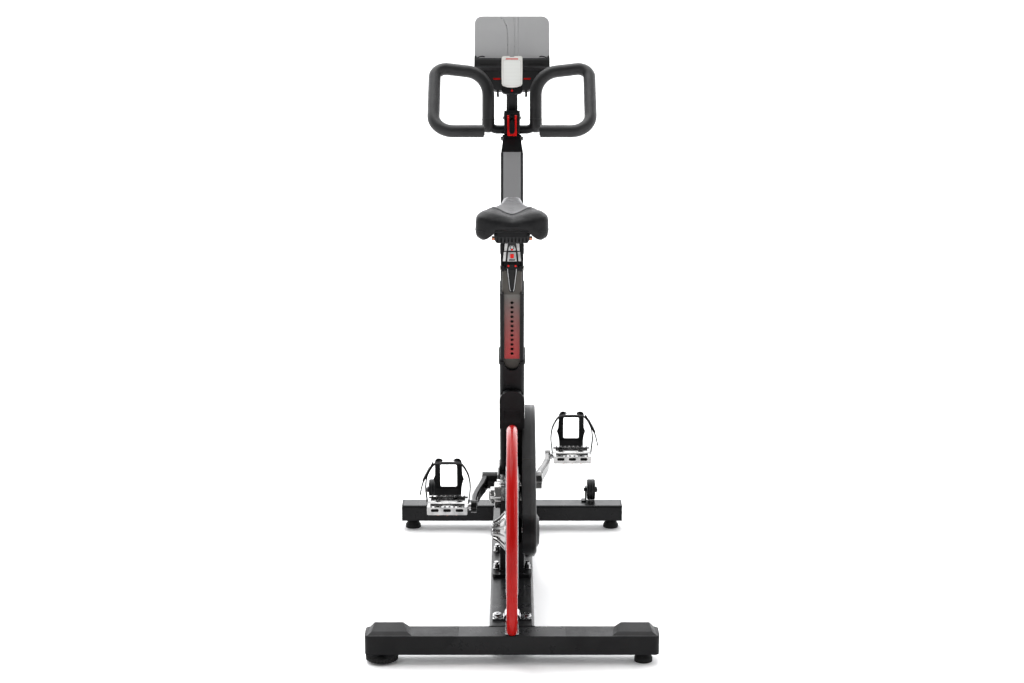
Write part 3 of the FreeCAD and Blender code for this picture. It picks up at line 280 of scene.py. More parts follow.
FINISHES = {
    "black_paint": powder_coat("black_powder_coat", (0.0055, 0.0055, 0.006), (0.009, 0.009, 0.0095),
                               0.24, 0.36),
    "grey_paint": powder_coat("grey_powder_coat", (0.045, 0.042, 0.037), (0.060, 0.055, 0.049), 0.28, 0.40),
    "red_paint": gloss_paint("red_gloss_paint", (0.29, 0.004, 0.003), (0.35, 0.006, 0.005)),
    "bright_steel": metal("bright_steel", (0.30, 0.30, 0.305), (0.44, 0.44, 0.44), 0.06, 0.16),
    "zinc_steel": metal("zinc_steel", (0.36, 0.36, 0.37), (0.52, 0.52, 0.52), 0.24, 0.40),
    "cast_wheel": metal("flywheel_paint", (0.034, 0.034, 0.036), (0.042, 0.042, 0.044), 0.34, 0.40, 0.6),
    "cast_alloy": metal("polished_casting", (0.20, 0.20, 0.20), (0.38, 0.375, 0.37), 0.06, 0.18),
    "crank_metal": metal("crank_alloy", (0.16, 0.16, 0.16), (0.26, 0.26, 0.26), 0.24, 0.38, 0.95,
                         ALONG_ARM),
    "black_plastic": moulded("black_moulding", (0.005, 0.005, 0.0055), (0.008, 0.008, 0.0085), 0.34, 0.50),
    "grey_plastic": moulded("grey_moulding", (0.022, 0.022, 0.023), (0.030, 0.030, 0.031), 0.36, 0.50),
    "gloss_cover": moulded("cover_moulding", (0.008, 0.008, 0.0085), (0.013, 0.013, 0.013), 0.30, 0.42,
                           900.0, 0.08),
    "silver_plastic": moulded("silver_moulding", (0.58, 0.57, 0.54), (0.66, 0.65, 0.62), 0.26, 0.36,
                              1600.0, 0.05),
    "red_plastic": gloss_paint("red_moulding", (0.48, 0.008, 0.007), (0.58, 0.012, 0.010)),
    "lcd_glass": lcd(),
    "clear_plate": smoked_plate(),
    "rubber": rubber("foot_rubber", (0.006, 0.006, 0.006), (0.011, 0.011, 0.011)),
    "foam": foam(),
    "belt_rubber": rubber("belt_rubber", (0.008, 0.008, 0.008), (0.012, 0.012, 0.012)),
    "webbing": webbing(),
    "saddle_cover": saddle_skin("saddle_black", (0.006, 0.006, 0.0065), (0.010, 0.010, 0.0105), 0.40, 0.54),
    "scale_print": scale_strip(),
}
SILVER_SKIN = saddle_skin("saddle_silver", (0.080, 0.080, 0.083), (0.115, 0.115, 0.118), 0.26, 0.38)
COPPER = metal("copper_bolts", (0.42, 0.17, 0.10), (0.52, 0.22, 0.13), 0.28, 0.4)

NODE_FINISHES = {              # nodes whose paint differs a little from the rest of their slot; the front tube's grey rear face and the right crank arm's grey metal are painted reflection
    # front tube: painted reflection, a grey rear face on black paint
    "front_tube": tube_paint_with_painted_reflection(),
    "crank_arm_left": powder_coat("black_arm_paint", (0.006, 0.006, 0.006), (0.010, 0.010, 0.010),
                                  0.16, 0.26),
    # painted reflection: the right arm gets a lighter grey metal than the black left arm, standing in for the
    # reflection on its top
    "crank_arm_right": metal("right_arm_painted_reflection", (0.05, 0.05, 0.05), (0.10, 0.098, 0.095), 0.16, 0.28, 0.95,
                             ALONG_ARM),
    "tablet_holder": moulded("holder_moulding", (0.030, 0.030, 0.031), (0.038, 0.038, 0.039), 0.36, 0.50),
}


def dress_cad_nodes():
    """Give every CAD node the finish of its record slot, or its own."""
    for row in frame["record"]["subparts"]:
        mesh = nodes[row["node"]].data
        mesh.materials.clear()
        mesh.materials.append(NODE_FINISHES.get(row["node"], FINISHES[row["material_slot"]]))


# ---- Mesh helpers -------------------------------------------------------------------
def piece(name, parts, body, slot, material=None, sharp=35):
    """One object made of closed parts, each a (vertices, faces) pair."""
    vertices, faces = [], []
    for part_vertices, part_faces in parts:
        base = len(vertices)
        vertices += [tuple(v) for v in part_vertices]
        faces += [tuple(base + k for k in face) for face in part_faces]
    mesh = bpy.data.meshes.new(name)
    mesh.from_pydata(vertices, [], faces)
    work = bmesh.new()
    work.from_mesh(mesh)
    bmesh.ops.recalc_face_normals(work, faces=work.faces)
    for face in work.faces:
        face.smooth = True
    for edge in work.edges:
        if len(edge.link_faces) == 2:
            edge.smooth = edge.calc_face_angle(0) < math.radians(sharp)
    work.to_mesh(mesh)
    work.free()
    mesh.materials.append(material or FINISHES[slot])
    thing = bpy.data.objects.new(name, mesh)
    bpy.context.scene.collection.objects.link(thing)
    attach(thing, body)
    return thing


def grid_faces(rows, columns, closed_rows=False, closed_columns=True):
    faces = []
    for i in range(rows if closed_rows else rows - 1):
        for j in range(columns if closed_columns else columns - 1):
            a = i * columns + j
            b = i * columns + (j + 1) % columns
            c = ((i + 1) % rows) * columns + (j + 1) % columns
            d = ((i + 1) % rows) * columns + j
            faces.append((a, b, c, d))
    return faces


def capped(rows, columns):
    """Faces of a tube of rows with both ends closed."""
    faces = grid_faces(rows, columns)
    faces.append(tuple(range(columns)))
    faces.append(tuple(range((rows - 1) * columns, rows * columns)))
    return faces


def circle(turn, first, second, radius):
    """Point of a circle spanned by two directions."""
    return (first * math.cos(turn) + second * math.sin(turn)) * radius


def basis(direction):
    """Unit vector along a direction, and two more square to it."""
    along = Vector(direction).normalized()
    side = along.cross(Vector((0, 0, 1)))
    if side.length < 0.1:
        side = along.cross(Vector((0, 1, 0)))
    side.normalize()
    return along, side, along.cross(side)


def turned(start, direction, profile, sides=32):
    """Turned part: profile is a list of (distance along, radius), closed at both ends."""
    along, side, other = basis(direction)
    start = Vector(start)
    vertices = []
    for distance, radius in profile:
        for k in range(sides):
            turn = 2 * math.pi * k / sides
            vertices.append(start + along * distance + circle(turn, side, other, radius))
    return vertices, capped(len(profile), sides)


def dome(start, direction, radius, height, sides=24, rings=5):
    """Low button with a rounded top."""
    profile = [(0.0, radius)]
    for k in range(rings + 1):
        turn = 0.5 * math.pi * k / rings
        profile.append((height * (0.35 + 0.65 * math.sin(turn)), radius * max(0.02, math.cos(turn) ** 0.8)))
    return turned(start, direction, profile, sides)


def ring(centre, direction, radius, thick, sides=40, section=10):
    """Torus round a direction."""
    side, other = basis(direction)[1:]
    points = []
    for k in range(sides):
        turn = 2 * math.pi * k / sides
        points.append(Vector(centre) + circle(turn, side, other, radius))
    return rod(points, thick, section, closed=True)


def rod(points, radius, sides=12, closed=False):
    """Round rod through points; radius is one number or one for each point."""
    points = [Vector(p) for p in points]
    count = len(points)
    vertices = []
    side = None
    for index, point in enumerate(points):
        before = points[index - 1] if index or closed else point
        after = points[(index + 1) % count] if index < count - 1 or closed else point
        along = (after - before).normalized()
        if side is None:
            side = basis(along)[1]
        side = (side - along * side.dot(along)).normalized()
        other = along.cross(side)
        size = radius[index] if isinstance(radius, (list, tuple)) else radius
        for k in range(sides):
            turn = 2 * math.pi * k / sides
            vertices.append(point + circle(turn, side, other, size))
    if closed:
        return vertices, grid_faces(count, sides, closed_rows=True)
    return vertices, capped(count, sides)


STRAP_SECTION = ((-0.5, -0.3), (-0.42, -0.5), (0.42, -0.5), (0.5, -0.3), (0.5, 0.3), (0.42, 0.5),
                 (-0.42, 0.5), (-0.5, 0.3))


def ribbon(points, across, width, thick):
    """Flat strap through points: across is the direction of its width."""
    points = [Vector(p) for p in points]
    vertices = []
    for index, point in enumerate(points):
        along = (points[min(index + 1, len(points) - 1)] - points[max(index - 1, 0)]).normalized()
        wide = Vector(across)
        wide = (wide - along * wide.dot(along)).normalized()
        up = along.cross(wide)
        for a, b in STRAP_SECTION:
            vertices.append(point + wide * width * a + up * thick * b)
    return vertices, capped(len(points), len(STRAP_SECTION))


def slab(outline, place, thick, edge=0.0008):
    """Flat plate with softened edges; place turns (a, b, height) into a point."""
    middle = Vector((sum(a for a, b in outline), sum(b for a, b in outline))) / len(outline)
    vertices = []
    for inset, height in ((edge, 0.0), (0.0, edge), (0.0, thick - edge), (edge, thick)):
        for a, b in outline:
            spot = Vector((a, b))
            spot -= (spot - middle).normalized() * inset
            vertices.append(place(spot.x, spot.y, height))
    return vertices, capped(4, len(outline))


def rounded(half_a, half_b, radius, steps=6):
    """Outline of a rectangle with rounded corners about the origin."""
    outline = []
    for quarter, (sa, sb) in enumerate(((1, 1), (-1, 1), (-1, -1), (1, -1))):
        for k in range(steps + 1):
            turn = 0.5 * math.pi * (quarter + k / steps)
            outline.append((sa * (half_a - radius) + radius * math.cos(turn),
                            sb * (half_b - radius) + radius * math.sin(turn)))
    return outline


def between(table, share):
    """Value at a share along a table of (share, value), eased between its rows."""
    for (a, first), (b, second) in zip(table, table[1:]):
        if share <= b:
            t = (share - a) / (b - a)
            t = t * t * (3 - 2 * t)
            return first + (second - first) * t
    return table[-1][1]


def smooth_step(low, high, value):
    t = min(1.0, max(0.0, (value - low) / (high - low)))
    return t * t * (3 - 2 * t)


def surface_of(thing):
    """Search tree of a finished mesh, to lay seams on it."""
    mesh = thing.data
    polygons = [tuple(p.vertices) for p in mesh.polygons]
    return BVHTree.FromPolygons([v.co for v in mesh.vertices], polygons)


# ---- Saddle -------------------------------------------------------------------------
SADDLE_LOW, SADDLE_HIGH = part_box("saddle_pad")
SADDLE_REAR = SADDLE_LOW.y
SADDLE_LENGTH = SADDLE_HIGH.y - SADDLE_LOW.y
SADDLE_HALF = SADDLE_HIGH.x
TAIL_ROUND = 0.10              # share of the length that the tail's rounding takes
NOSE_ROUND = 0.09
# Each table runs from the tail to the nose, as (share of the length, value in metres).
SADDLE_WIDTHS = [(0.0, 0.96), (0.06, 0.985), (0.14, 1.0), (0.26, 0.975), (0.38, 0.84), (0.52, 0.60),
                 (0.66, 0.42), (0.80, 0.31), (0.92, 0.26), (1.0, 0.23)]     # shares of the half width
CROWN = [(0.0, 0.0515), (0.15, 0.0550), (0.35, 0.0520), (0.6, 0.0520), (0.85, 0.0590), (1.0, 0.0560)]
VALLEY = [(0.0, 0.010), (0.2, 0.0155), (0.42, 0.013), (0.7, 0.005), (1.0, 0.0)]
BELT = [(0.0, 0.028), (0.4, 0.030), (1.0, 0.036)]
SKIRT = [(0.0, -0.004), (0.15, -0.0065), (0.45, 0.002), (0.75, 0.008), (1.0, 0.008)]
PLATE = [(0.0, 0.040), (0.25, 0.044), (0.5, 0.033), (0.7, 0.021), (0.87, 0.015), (1.0, 0.010)]
VALLEY_WIDTH = 0.029
NOTCH_DEPTH = 0.007            # dip in the middle of the tail
NOTCH_WIDTH = 0.020
ROOF = 0.0165                  # underside over the plate
ROOF_EDGE = 0.0085             # underside just beside the plate
SADDLE_COLUMNS = 104


def saddle_half_width(share, closing):
    return SADDLE_HALF * between(SADDLE_WIDTHS, share) * closing ** 0.55


def saddle_top(x, share):
    valley = between(VALLEY, share) * math.exp(-(x / VALLEY_WIDTH) ** 2)
    return SADDLE_LOW.z + between(CROWN, share) - valley


def saddle_under(x, share):
    """Underside: lobes that hang either side of the plate the pad sits on."""
    skirt, plate = between(SKIRT, share), between(PLATE, share)
    inner = (ROOF_EDGE - ROOF) * smooth_step(plate, plate + 0.004, abs(x))
    outer = (min(skirt, ROOF_EDGE) - ROOF_EDGE) * smooth_step(plate + 0.002, plate + 0.025, abs(x))
    return SADDLE_LOW.z + ROOF + inner + outer


def saddle_ring(share, closing):
    """One section of the skin; closing runs from 0 at an end to 1 where the pad is full."""
    width = saddle_half_width(share, closing)
    belt = SADDLE_LOW.z + between(BELT, share)
    points = []
    for k in range(SADDLE_COLUMNS):
        turn = 2 * math.pi * k / SADDLE_COLUMNS
        c, s = math.cos(turn), math.sin(turn)
        x = width * math.copysign(abs(c) ** 0.46, c)
        target = saddle_top(x, share) if s > 0 else saddle_under(x, share)
        z = belt + (target - belt) * abs(s) ** 0.32 * closing ** 0.6
        notch = NOTCH_DEPTH * math.exp(-(x / NOTCH_WIDTH) ** 2) * (1.0 - smooth_step(0.0, 0.3, share))
        points.append(Vector((x, SADDLE_REAR + 0.002 + (SADDLE_LENGTH - 0.004) * share + notch, z)))
    return points


def saddle_rows(full=64, end=12):
    """Shares along the saddle with how far each section has closed."""
    rows = []
    for k in range(1, end):
        turn = 0.5 * math.pi * k / end
        rows.append((TAIL_ROUND * (1 - math.cos(turn)), math.sin(turn)))
    for k in range(full + 1):
        rows.append((TAIL_ROUND + (1 - TAIL_ROUND - NOSE_ROUND) * k / full, 1.0))
    for k in range(end - 1, 0, -1):
        turn = 0.5 * math.pi * k / end
        rows.append((1 - NOSE_ROUND * (1 - math.cos(turn)), math.sin(turn)))
    return rows


def baked(thing):
    """Make the evaluated mesh the real one and drop the modifiers."""
    solved = thing.evaluated_get(bpy.context.evaluated_depsgraph_get())
    mesh = bpy.data.meshes.new_from_object(solved)
    thing.modifiers.clear()
    thing.data = mesh


def stuffed(thing, voxel=0.005, pressure=4.0, cap=0.004, frames=20):
    """Press the skin out with its stuffing as cloth, and cap how far a point may move."""
    remesh = thing.modifiers.new("even_mesh", "REMESH")
    remesh.mode = "VOXEL"
    remesh.voxel_size = voxel
    baked(thing)
    before = [v.co.copy() for v in thing.data.vertices]
    cloth = thing.modifiers.new("stuffing", "CLOTH")
    cloth.settings.use_pressure = True
    cloth.settings.uniform_pressure_force = pressure
    cloth.settings.effector_weights.gravity = 0.0
    cloth.point_cache.frame_start = 1
    cloth.point_cache.frame_end = frames
    for number in range(1, frames + 1):
        bpy.context.scene.frame_set(number)
    baked(thing)
    for vertex, start in zip(thing.data.vertices, before):
        move = vertex.co - start
        if move.length > cap:
            vertex.co = start + move.normalized() * cap
    thing.modifiers.new("finer", "SUBSURF").levels = 1
    baked(thing)
    bpy.context.scene.frame_set(1)


PANEL_BACK = SADDLE_REAR + 0.088
PANEL_FLAT = 0.010             # half width of the straight part of the panel's rear edge
PANEL_SLOPE = 1.05
PANEL_LOW = SADDLE_LOW.z + 0.040
PIPING_REACH = 0.046           # how far the piping is traced either side of the middle


def panel_edge(x):
    """Rear edge of the silver nose panel, as y for a distance from the middle."""
    return PANEL_BACK + PANEL_SLOPE * max(0.0, abs(x) - PANEL_FLAT)


def in_panel(spot):
    return spot.y > panel_edge(spot.x) and spot.z > PANEL_LOW


def cut_along_panel(mesh):
    """Add edges where the panel's borders run, so that the colours meet in clean lines."""
    planes = [(Vector((0, PANEL_BACK, 0)), Vector((0, 1, 0))),
              (Vector((0, 0, PANEL_LOW)), Vector((0, 0, 1)))]
    for side in (-1, 1):
        corner = Vector((side * PANEL_FLAT, PANEL_BACK, 0))
        planes.append((corner, Vector((-side * PANEL_SLOPE, 1, 0)).normalized()))
    work = bmesh.new()
    work.from_mesh(mesh)
    for point, normal in planes:
        geometry = work.verts[:] + work.edges[:] + work.faces[:]
        bmesh.ops.bisect_plane(work, geom=geometry, dist=0.00002, plane_co=point, plane_no=normal)
    for face in work.faces:
        face.smooth = True
        face.material_index = 1 if in_panel(face.calc_center_median()) else 0
    work.to_mesh(mesh)
    work.free()


def laid_on(tree, spots, lift=0.0):
    """Move spots onto the nearest surface, a little proud of it."""
    laid = []
    for spot in spots:
        near, normal, _, _ = tree.find_nearest(Vector(spot))
        laid.append(near + normal * lift)
    return laid


def make_saddle_skin():
    rows = saddle_rows()
    vertices = []
    for share, closing in rows:
        vertices += saddle_ring(share, closing)
    form = (vertices, capped(len(rows), SADDLE_COLUMNS))
    skin = piece("saddle_skin", [form], "saddle", "saddle_cover", sharp=180)
    stuffed(skin)
    if not skin.data.materials:
        skin.data.materials.append(FINISHES["saddle_cover"])
    skin.data.materials.append(SILVER_SKIN)
    cut_along_panel(skin.data)
    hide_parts("saddle_pad")
    return skin


def make_panel_seams(tree):
    """Piping along the rear edge of the nose panel, and the stitches behind it."""
    steps = 60
    border = []
    for k in range(steps + 1):
        x = -PIPING_REACH + 2 * PIPING_REACH * k / steps
        hit = tree.ray_cast(Vector((x, panel_edge(x), SADDLE_HIGH.z + 0.05)), Vector((0, 0, -1)))[0]
        if hit is not None and hit.z > PANEL_LOW:
            border.append(hit + Vector((0, 0, 0.0004)))
    piece("saddle_panel_piping", [rod(border, 0.0013, 8)], "saddle", "saddle_cover", SILVER_SKIN)
    stitches = []
    back = Vector((0, -0.0034, 0))
    for first, second in zip(border[::2], border[1::2]):
        ends = laid_on(tree, [first + back, first.lerp(second, 0.9) + back], 0.0003)
        middle = ends[0].lerp(ends[1], 0.5) + Vector((0, 0, 0.0002))
        stitches.append(rod([ends[0], middle, ends[1]], 0.00045, 6))
    piece("saddle_stitches", stitches, "saddle", "saddle_cover", SILVER_SKIN)


def make_saddle_welt(tree):
    """Welt round the pad's waist."""
    waist = saddle_rows()[4:-4:2]
    spots = []
    for side, rows in ((1, waist), (-1, reversed(waist))):
        for share, closing in rows:
            spots.append((side * saddle_half_width(share, closing), SADDLE_REAR + SADDLE_LENGTH * share,
                          SADDLE_LOW.z + 0.017 + 0.008 * share))
    piece("saddle_welt", [rod(laid_on(tree, spots, -0.0002), 0.0011, 8, closed=True)], "saddle",
          "saddle_cover")


def make_saddle():
    tree = surface_of(make_saddle_skin())
    make_panel_seams(tree)
    make_saddle_welt(tree)


# ---- Local frames -------------------------------------------------------------------
def on_frame(base_y, base_z, lean):
    """Turn millimetres in a frame that leans forward by some degrees into metres."""
    turn = math.radians(lean)
    c, s = math.cos(turn), math.sin(turn)

    def place(x, y, z):
        return Vector((x, base_y + y * c + z * s, base_z - y * s + z * c)) / 1000

    return place


world = on_frame(0, 0, 0)
on_front = on_frame(30, 285, 22)
on_display = on_frame(330, 1243, 20)
on_tablet = on_frame(456, 1271, 30)
REARWARD = (0, -1, 0)


def facing(place, outline, back, thick, edge=0.4):
    """Plate that faces the rider: outline of (x, z), standing proud of the y it starts at."""
    return slab(outline, lambda a, b, height: place(a, back - height, b), thick, edge)


def shifted(outline, a, b):
    return [(x + a, z + b) for x, z in outline]


def both_halves(right):
    """Close an outline with the mirror image of its right half."""
    return right + [(-x, z) for x, z in reversed(right) if abs(x) > 0.01]


def softened(points, steps=6, closed=False):
    """Smooth curve through points."""
    points = [Vector(p) for p in points]
    count = len(points)
    curve = []
    for i in range(count if closed else count - 1):
        a = points[i - 1] if i or closed else points[0]
        b = points[i]
        c = points[(i + 1) % count]
        d = points[(i + 2) % count] if i + 2 < count or closed else points[-1]
        for k in range(steps):
            t = k / steps
            curve.append(0.5 * (2 * b + (c - a) * t + (2 * a - 5 * b + 4 * c - d) * t * t
                                + (3 * b - a - 3 * c + d) * t * t * t))
    if not closed:
        curve.append(points[-1])
    return curve


def weld(points, radius=0.0024, step=0.0022):
    """Weld bead along a line: a rod whose thickness ripples."""
    points = [Vector(p) for p in points]
    line, sizes = [], []
    for a, b in zip(points, points[1:]):
        count = max(2, int((b - a).length / step))
        for k in range(count):
            line.append(a.lerp(b, k / count))
            sizes.append(radius * (1.0 + 0.12 * math.sin(len(line) * 1.9)))
    line.append(points[-1])
    sizes.append(radius)
    return rod(line, sizes, 8)


def socket_screw(start, direction, radius, height):
    """Cylinder head with a recess in its top."""
    profile = [(0, radius), (height * 0.8, radius), (height, radius * 0.86), (height, radius * 0.5),
               (height * 0.35, radius * 0.45)]
    return turned(start, direction, profile, 24)


# ---- Seat head ----------------------------------------------------------------------
HEAD_FACE = -243.0             # rear face of the clamp block, mm
RAIL_FACE = -239.2
YOKE_FACE = -252.0
LEVER_FACE = -261.0
HEAD_STRIP = [(14.4, 880.5), (20.5, 880.5), (18.4, 903), (12.2, 903.4)]    # outlines are (x, z), mm
RAIL_STRIP = [(11.6, 904.2), (17.4, 904.2), (16.4, 922), (8.6, 922)]
LEVER_RIM = [(9.6, 866), (9.4, 858), (7.9, 846), (6.0, 830), (4.6, 819), (2.6, 815)]
CARRIAGE_SLEEVE = [(0, 0.0047), (0.0058, 0.0047), (0.0066, 0.0040), (0.0066, 0.0022), (0.0060, 0.0020)]


def make_seat_head_details():
    strips, rail_strips, cheeks, domes = [], [], [], []
    for side in (-1, 1):
        strips.append(facing(world, [(side * x, z) for x, z in HEAD_STRIP], HEAD_FACE, 8.4, 0.6))
        rail_strips.append(facing(world, [(side * x, z) for x, z in RAIL_STRIP], RAIL_FACE, 11.5, 0.6))
        cheeks.append(facing(world, shifted(rounded(4.0, 12.4, 3), side * 22.8, 908.5), HEAD_FACE, 6.5, 1.2))
        domes.append(dome(world(side * 25, -254, 866), (side, 0, 0), 0.0056, 0.0036))
    piece("head_chrome_strips", strips, "seat_post", "cast_alloy")
    piece("rail_end_strips", rail_strips, "saddle", "cast_alloy")
    piece("head_cheeks", cheeks, "seat_post", "black_plastic")
    piece("lever_pin_caps", domes, "seat_post", "bright_steel", FINISHES["silver_plastic"])
    inlay = both_halves([(10.6, 881), (8.8, 902.6)])
    piece("head_inlay", [facing(world, inlay, YOKE_FACE, 1.6)], "seat_post", "cast_alloy")
    ridges = [facing(world, shifted(rounded(7.5, 0.7, 0.6), 0, z), YOKE_FACE - 1.6, 0.7, 0.2)
              for z in (883.4, 885.6)]
    piece("head_inlay_ridges", ridges, "seat_post", "black_plastic")
    piece("head_button", [facing(world, shifted(rounded(4.2, 4.8, 1.2), 0, 893.5), YOKE_FACE - 1.4, 1.8)],
          "seat_post", "red_plastic")
    arch = both_halves([(8.4, 905.4), (7.2, 913), (4.6, 917.5), (0, 919)])
    piece("rail_inlay", [facing(world, arch, YOKE_FACE, 1.4)], "saddle", "cast_alloy")
    piece("rail_inlay_ring", [ring(world(0, -253.4, 913), REARWARD, 0.0042, 0.0008, 28, 8)],
          "saddle", "black_plastic")
    piece("rail_button", [facing(world, shifted(rounded(2.6, 1.9, 0.8), 0, 908.2), YOKE_FACE - 1.2, 1.4)],
          "saddle", "red_plastic")
    marks, lines, bolts = [], [], []
    for side in (-1, 1):
        marks.append(dome(world(side * 8.0, LEVER_FACE, 872.5), REARWARD, 0.0024, 0.0012, 16, 4))
        lines.append(rod(softened([world(side * x, LEVER_FACE - 0.2, z) for x, z in LEVER_RIM]), 0.0007, 8))
        bolts.append(turned(world(side * 38.8, -250, 933.5), (side, 0, 0), CARRIAGE_SLEEVE, 24))
    piece("lever_marks", marks, "seat_lever", "red_plastic")
    piece("lever_rim_lines", lines, "seat_lever", "zinc_steel")
    inset = both_halves([(5.6, 864), (5.2, 848), (3.4, 828), (0, 820)])
    piece("lever_inset", [facing(world, inset, LEVER_FACE, 0.9, 0.4)], "seat_lever", "gloss_cover")
    piece("carriage_bolts", bolts, "saddle", "zinc_steel", COPPER)


# ---- Handlebar ----------------------------------------------------------------------
GRIP_RING = 0.0150             # centre line of the rolled foam ends
LOWER_BAR = (244, 1113)        # (y, z) of the lower runs, mm
RISER_FOOT = (360.6, 1128.6)   # where the foam ends on a riser, (y, z), mm
RISER_X = 60
RISER_UP = Vector((0, 0.2207, 0.9753))
FOAM_BULB = [(0, 0.0155), (0.012, 0.0160), (0.021, 0.0156), (0.027, 0.0134), (0.0305, 0.0096),
             (0.032, 0.0040)]
BAR_PLUG = [(0, 0.0112), (0.001, 0.0112), (0.0022, 0.0098), (0.0022, 0.004), (0.0012, 0.0036)]


def make_handlebar_details():
    rolls, plugs, bolts = [], [], []
    for side in (-1, 1):
        bulb_top = world(side * RISER_X, RISER_FOOT[0] - 0.2, RISER_FOOT[1] - 1)
        rolls.append(ring(world(side * 70.4, *LOWER_BAR), (1, 0, 0), GRIP_RING, 0.0007))
        rolls.append(ring(world(side * RISER_X, *RISER_FOOT), RISER_UP, GRIP_RING, 0.0014))
        rolls.append(turned(bulb_top, -RISER_UP, FOAM_BULB))
        plugs.append(turned(world(side * 69.6, *LOWER_BAR), (-side, 0, 0), BAR_PLUG))
        for z in (878, 912):
            bolts.append(socket_screw(on_front(side * 20, -4, z), (side, 0, 0), 0.0042, 0.0032))
    piece("foam_rolled_ends", rolls, "handlebar", "foam")
    piece("handlebar_end_plugs", plugs, "handlebar", "black_plastic")
    piece("stem_clamp_screws", bolts, "handlebar", "bright_steel")
    drop = both_halves([(0, 857), (4.6, 858.4), (6.8, 864), (6.7, 873), (5.2, 883), (2.9, 892), (0, 895)])
    piece("clamp_lever_inset", [facing(on_front, drop, -47, 3.5, 0.9)], "handlebar_lever", "black_plastic")
    seam = [on_front(x, y, 915.5) for x, y in ((-20.1, -32.1), (20.1, -32.1), (20.1, 26.1), (-20.1, 26.1))]
    piece("stem_cap_seam", [rod(seam, 0.0005, 6, closed=True)], "handlebar", "grey_plastic")


# ---- Console ------------------------------------------------------------------------
DISPLAY_FACE = -9.5            # face of the screen, mm behind the display's middle plane
HOLDER_STRIPE = [(30, -55.6), (46, -55.6), (49, -50.6), (30, -50.6)]
PLATE_GROOVE = [(-34, 120), (-24, 112), (-15, 96), (-11.4, 74), (-11, 50), (-11, -6)]
GRIP_WIRE = [(93, -2), (86, 4), (76, 7), (70, 5)]


def make_console_details():
    screen = shifted(rounded(21.5, 31.5, 4), 0, 3.5)
    stripe = shifted(rounded(15.5, 1.2, 1.0), 0, 38.6)
    piece("display_screen", [facing(on_display, screen, DISPLAY_FACE, 0.5, 0.2)], "handlebar",
          "silver_plastic", FINISHES["lcd_glass"])
    piece("display_stripe", [facing(on_display, stripe, DISPLAY_FACE, 0.4, 0.1)], "handlebar", "red_plastic")
    frame_line = [on_display(x, DISPLAY_FACE - 0.4, z) for x, z in screen]
    piece("display_screen_frame", [rod(frame_line, 0.0003, 6, closed=True)], "handlebar", "silver_plastic",
          FINISHES["zinc_steel"])
    ledge = [(-95.4, -29), (95.4, -29), (95.4, -13.6), (-95.4, -13.6)]
    piece("holder_ledge_pad", [facing(on_tablet, ledge, -24, 0.8, 0.3)], "handlebar", "rubber")
    stripes = [facing(on_tablet, [(side * x, z) for x, z in HOLDER_STRIPE], 2.0, 0.5, 0.15) for side in (-1, 1)]
    piece("holder_stripes", stripes, "handlebar", "red_plastic")
    lines = [rod(softened([on_tablet(x, -2.0, z) for x, z in PLATE_GROOVE]), 0.0007, 6)]
    for x in (6.5, 16):
        lines.append(rod([on_tablet(x, -2.0, 118), on_tablet(x, -2.0, -6)], 0.0004, 6))
    piece("tablet_plate_lines", lines, "handlebar", "clear_plate", FINISHES["zinc_steel"])
    gaskets = []
    for side in (-1, 1):
        gaskets.append(facing(on_tablet, shifted(rounded(20, 1.6, 1.5), side * 60, -22), -24.8, 1.0, 0.4))
        wire = softened([on_tablet(side * x, -5.0, z) for x, z in GRIP_WIRE])
        gaskets.append(rod(wire, 0.0013, 8))
    piece("holder_grip_pads", gaskets, "handlebar", "rubber")


# ---- Pedals -------------------------------------------------------------------------
PEDAL_X = 152
STRAP_MIDDLE = 22              # middle of the strap ahead of the pedal axle, mm
STRAP_HALF = [(0, -9.2), (30, -9.4), (45.4, -9.0), (48.6, -4), (50.4, 14), (52.8, 40), (49.8, 66),
              (41, 86), (31, 97.6), (16, 99.6), (0, 100)]
STRAP_TAIL = [(35, 101), (44, 84), (56, 60), (62, 42), (66.4, 21.6)]
BUCKLE = [(42, 88), (46, 81), (54, 66), (58, 57)]
HORN_CURL = [(13, 40, 101), (17, 39, 103.4), (21, 39, 104.4), (25, 41, 103.6), (28.5, 45, 100),
             (30.5, 50, 94)]
HORN_RADII = [0.0017, 0.0021, 0.0023, 0.0023, 0.0021, 0.0017]
PLATE_EDGE = 41                # how far the slotted plates' screws sit from the axle, mm
DUST_CAP = [(0, 0.0105), (0.0012, 0.0105), (0.0022, 0.009), (0.0022, 0.003)]
TOOTH = [(0, 0.0026), (0.0016, 0.0019), (0.0019, 0.0013)]
TEETH = 8


